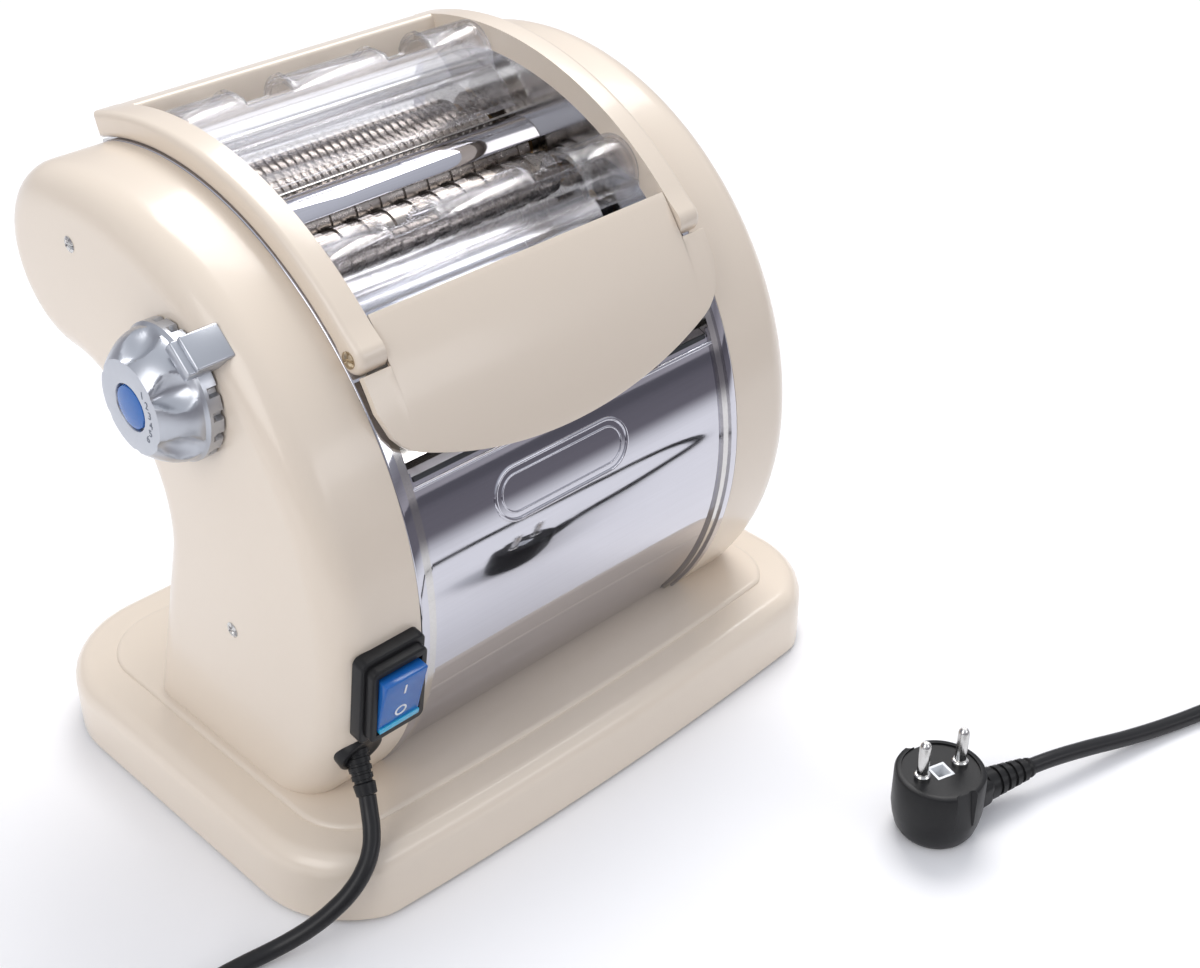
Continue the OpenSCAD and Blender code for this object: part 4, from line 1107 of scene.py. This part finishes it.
def makeSwitch():
    place = onFront(switch["x"], switch["angle"])
    bm = bmesh.new()
    for low, high in switch["steps"]:
        verts = box(bm, low, high)
        edges = {e for v in verts for e in v.link_edges}
        roundEdges(bm, [e for e in edges if abs(e.verts[0].co.y - e.verts[1].co.y) > 1], 3, 5)
    bmesh.ops.recalc_face_normals(bm, faces=bm.faces)
    outward = [e for e in sharpEdges(bm, 50) if max(v.co.y for v in e.verts) < -145.9]
    roundEdges(bm, outward, 0.9, 3)
    bmesh.ops.transform(bm, matrix=place, verts=bm.verts)
    shell = settle(bm, "switch_bezel", "blackGrain", "frame", ("switch_frame",))
    cutter = bmesh.new()
    box(cutter, *switch["opening"])
    bmesh.ops.transform(cutter, matrix=place, verts=cutter.verts)
    carve(shell, looseObject(cutter, "bezel_cut"))
    bm = bmesh.new()
    half = switch["rockerHalf"]
    face = bm.faces.new([bm.verts.new((-half, y, z)) for y, z in switch["rocker"]])
    extrudeFace(bm, face, (2 * half, 0, 0))
    bmesh.ops.recalc_face_normals(bm, faces=bm.faces)
    roundEdges(bm, sharpEdges(bm, 40), 0.8, 3)
    bmesh.ops.transform(bm, matrix=place, verts=bm.verts)
    settle(bm, "rocker_cap", "blueLens", "rocker", ("switch_rocker",))
    bm = bmesh.new()
    verts = box(bm, *switch["edge"])
    roundEdges(bm, {e for v in verts for e in v.link_edges}, 0.4, 2)
    bmesh.ops.transform(bm, matrix=place, verts=bm.verts)
    settle(bm, "rocker_edge", "cyanEdge", "rocker")


def makeComb():
    bm = bmesh.new()
    verts = box(bm, (-79.8, 40.3, 236.2), (79.8, 42.1, 237))
    for i in range(38):
        x = -76 + i * 4
        tooth = box(bm, (-1.1, 40.3, 231.6), (1.1, 41.2, 236.6))
        for v in tooth:
            v.co.x += (v.co.z - 234) * 0.55 + x
    roundEdges(bm, {e for v in verts for e in v.link_edges if e.is_valid}, 0.2, 2)
    settle(bm, "comb_teeth", "combSteel", "frame", ("fine_comb",))


makeBase()
makeHousings()
makeScrews()
makePanel()
makeTopFrame()
makeApron()
print("body made")
makeGuard("front_guard", guards["front"], "front_guard",
          [(-46, 229), (-43.8, 229), (-43.8, 235), (-46, 235)])
makeGuard("rear_guard", guards["rear"], "rear_guard",
          [(42.1, 261), (44.1, 261), (30.5, 247), (29, 246), (29, 248.6)])
makeKnob()
makePointer()
makeFigures()
makeSwitch()
makeComb()
print("fittings made")

# Frame nodes that keep their CAD shape, with rounded edges or as they are
roundedNodes = {
    "front_roller": ("rollerSteel", "roller_steel", 0.6), "rear_roller": ("rollerSteel", "roller_steel", 0.6),
    "cutter_cover": ("mirrorChrome", "chrome", 0.4),
    "feet": ("footRubber", "rubber", 0.5),
}
keptNodes = {
    "rollerSteel": ["tie_rods", "dial_shaft", "idler_stud", "dial_spring"],
    "cutterSteel": ["wide_cutter_front", "wide_cutter_rear", "fine_cutter_front", "fine_cutter_rear"],
    "plateSteel": ["left_side_plate", "right_side_plate", "rear_panel", "front_chute", "rear_chute"],
    "bushBronze": ["bushes", "block_bushes", "dial_bush"],
    "gearNylon": ["front_roller_gear", "rear_roller_gear", "wide_front_gear", "wide_rear_gear",
                  "fine_front_gear", "fine_rear_gear", "idler_gear", "motor_pinion"],
    "darkPaintAndSlotShade": ["base_plate", "roller_blocks", "motor"],
    "zincPlate": ["motor_screws", "base_screws"],
}
bodyOf = {node: body for body, nodes in frame["record"]["behaviour"]["bodies"].items() for node in nodes}
for node, (finish, slotName, width) in roundedNodes.items():
    softened(node, finish, bodyOf[node], width)
for finish, nodes in keptNodes.items():
    for node in nodes:
        kept = frame["nodes"][node]
        kept.data.materials.clear()
        kept.data.materials.append(finishes[finish])
print("hidden parts finished")
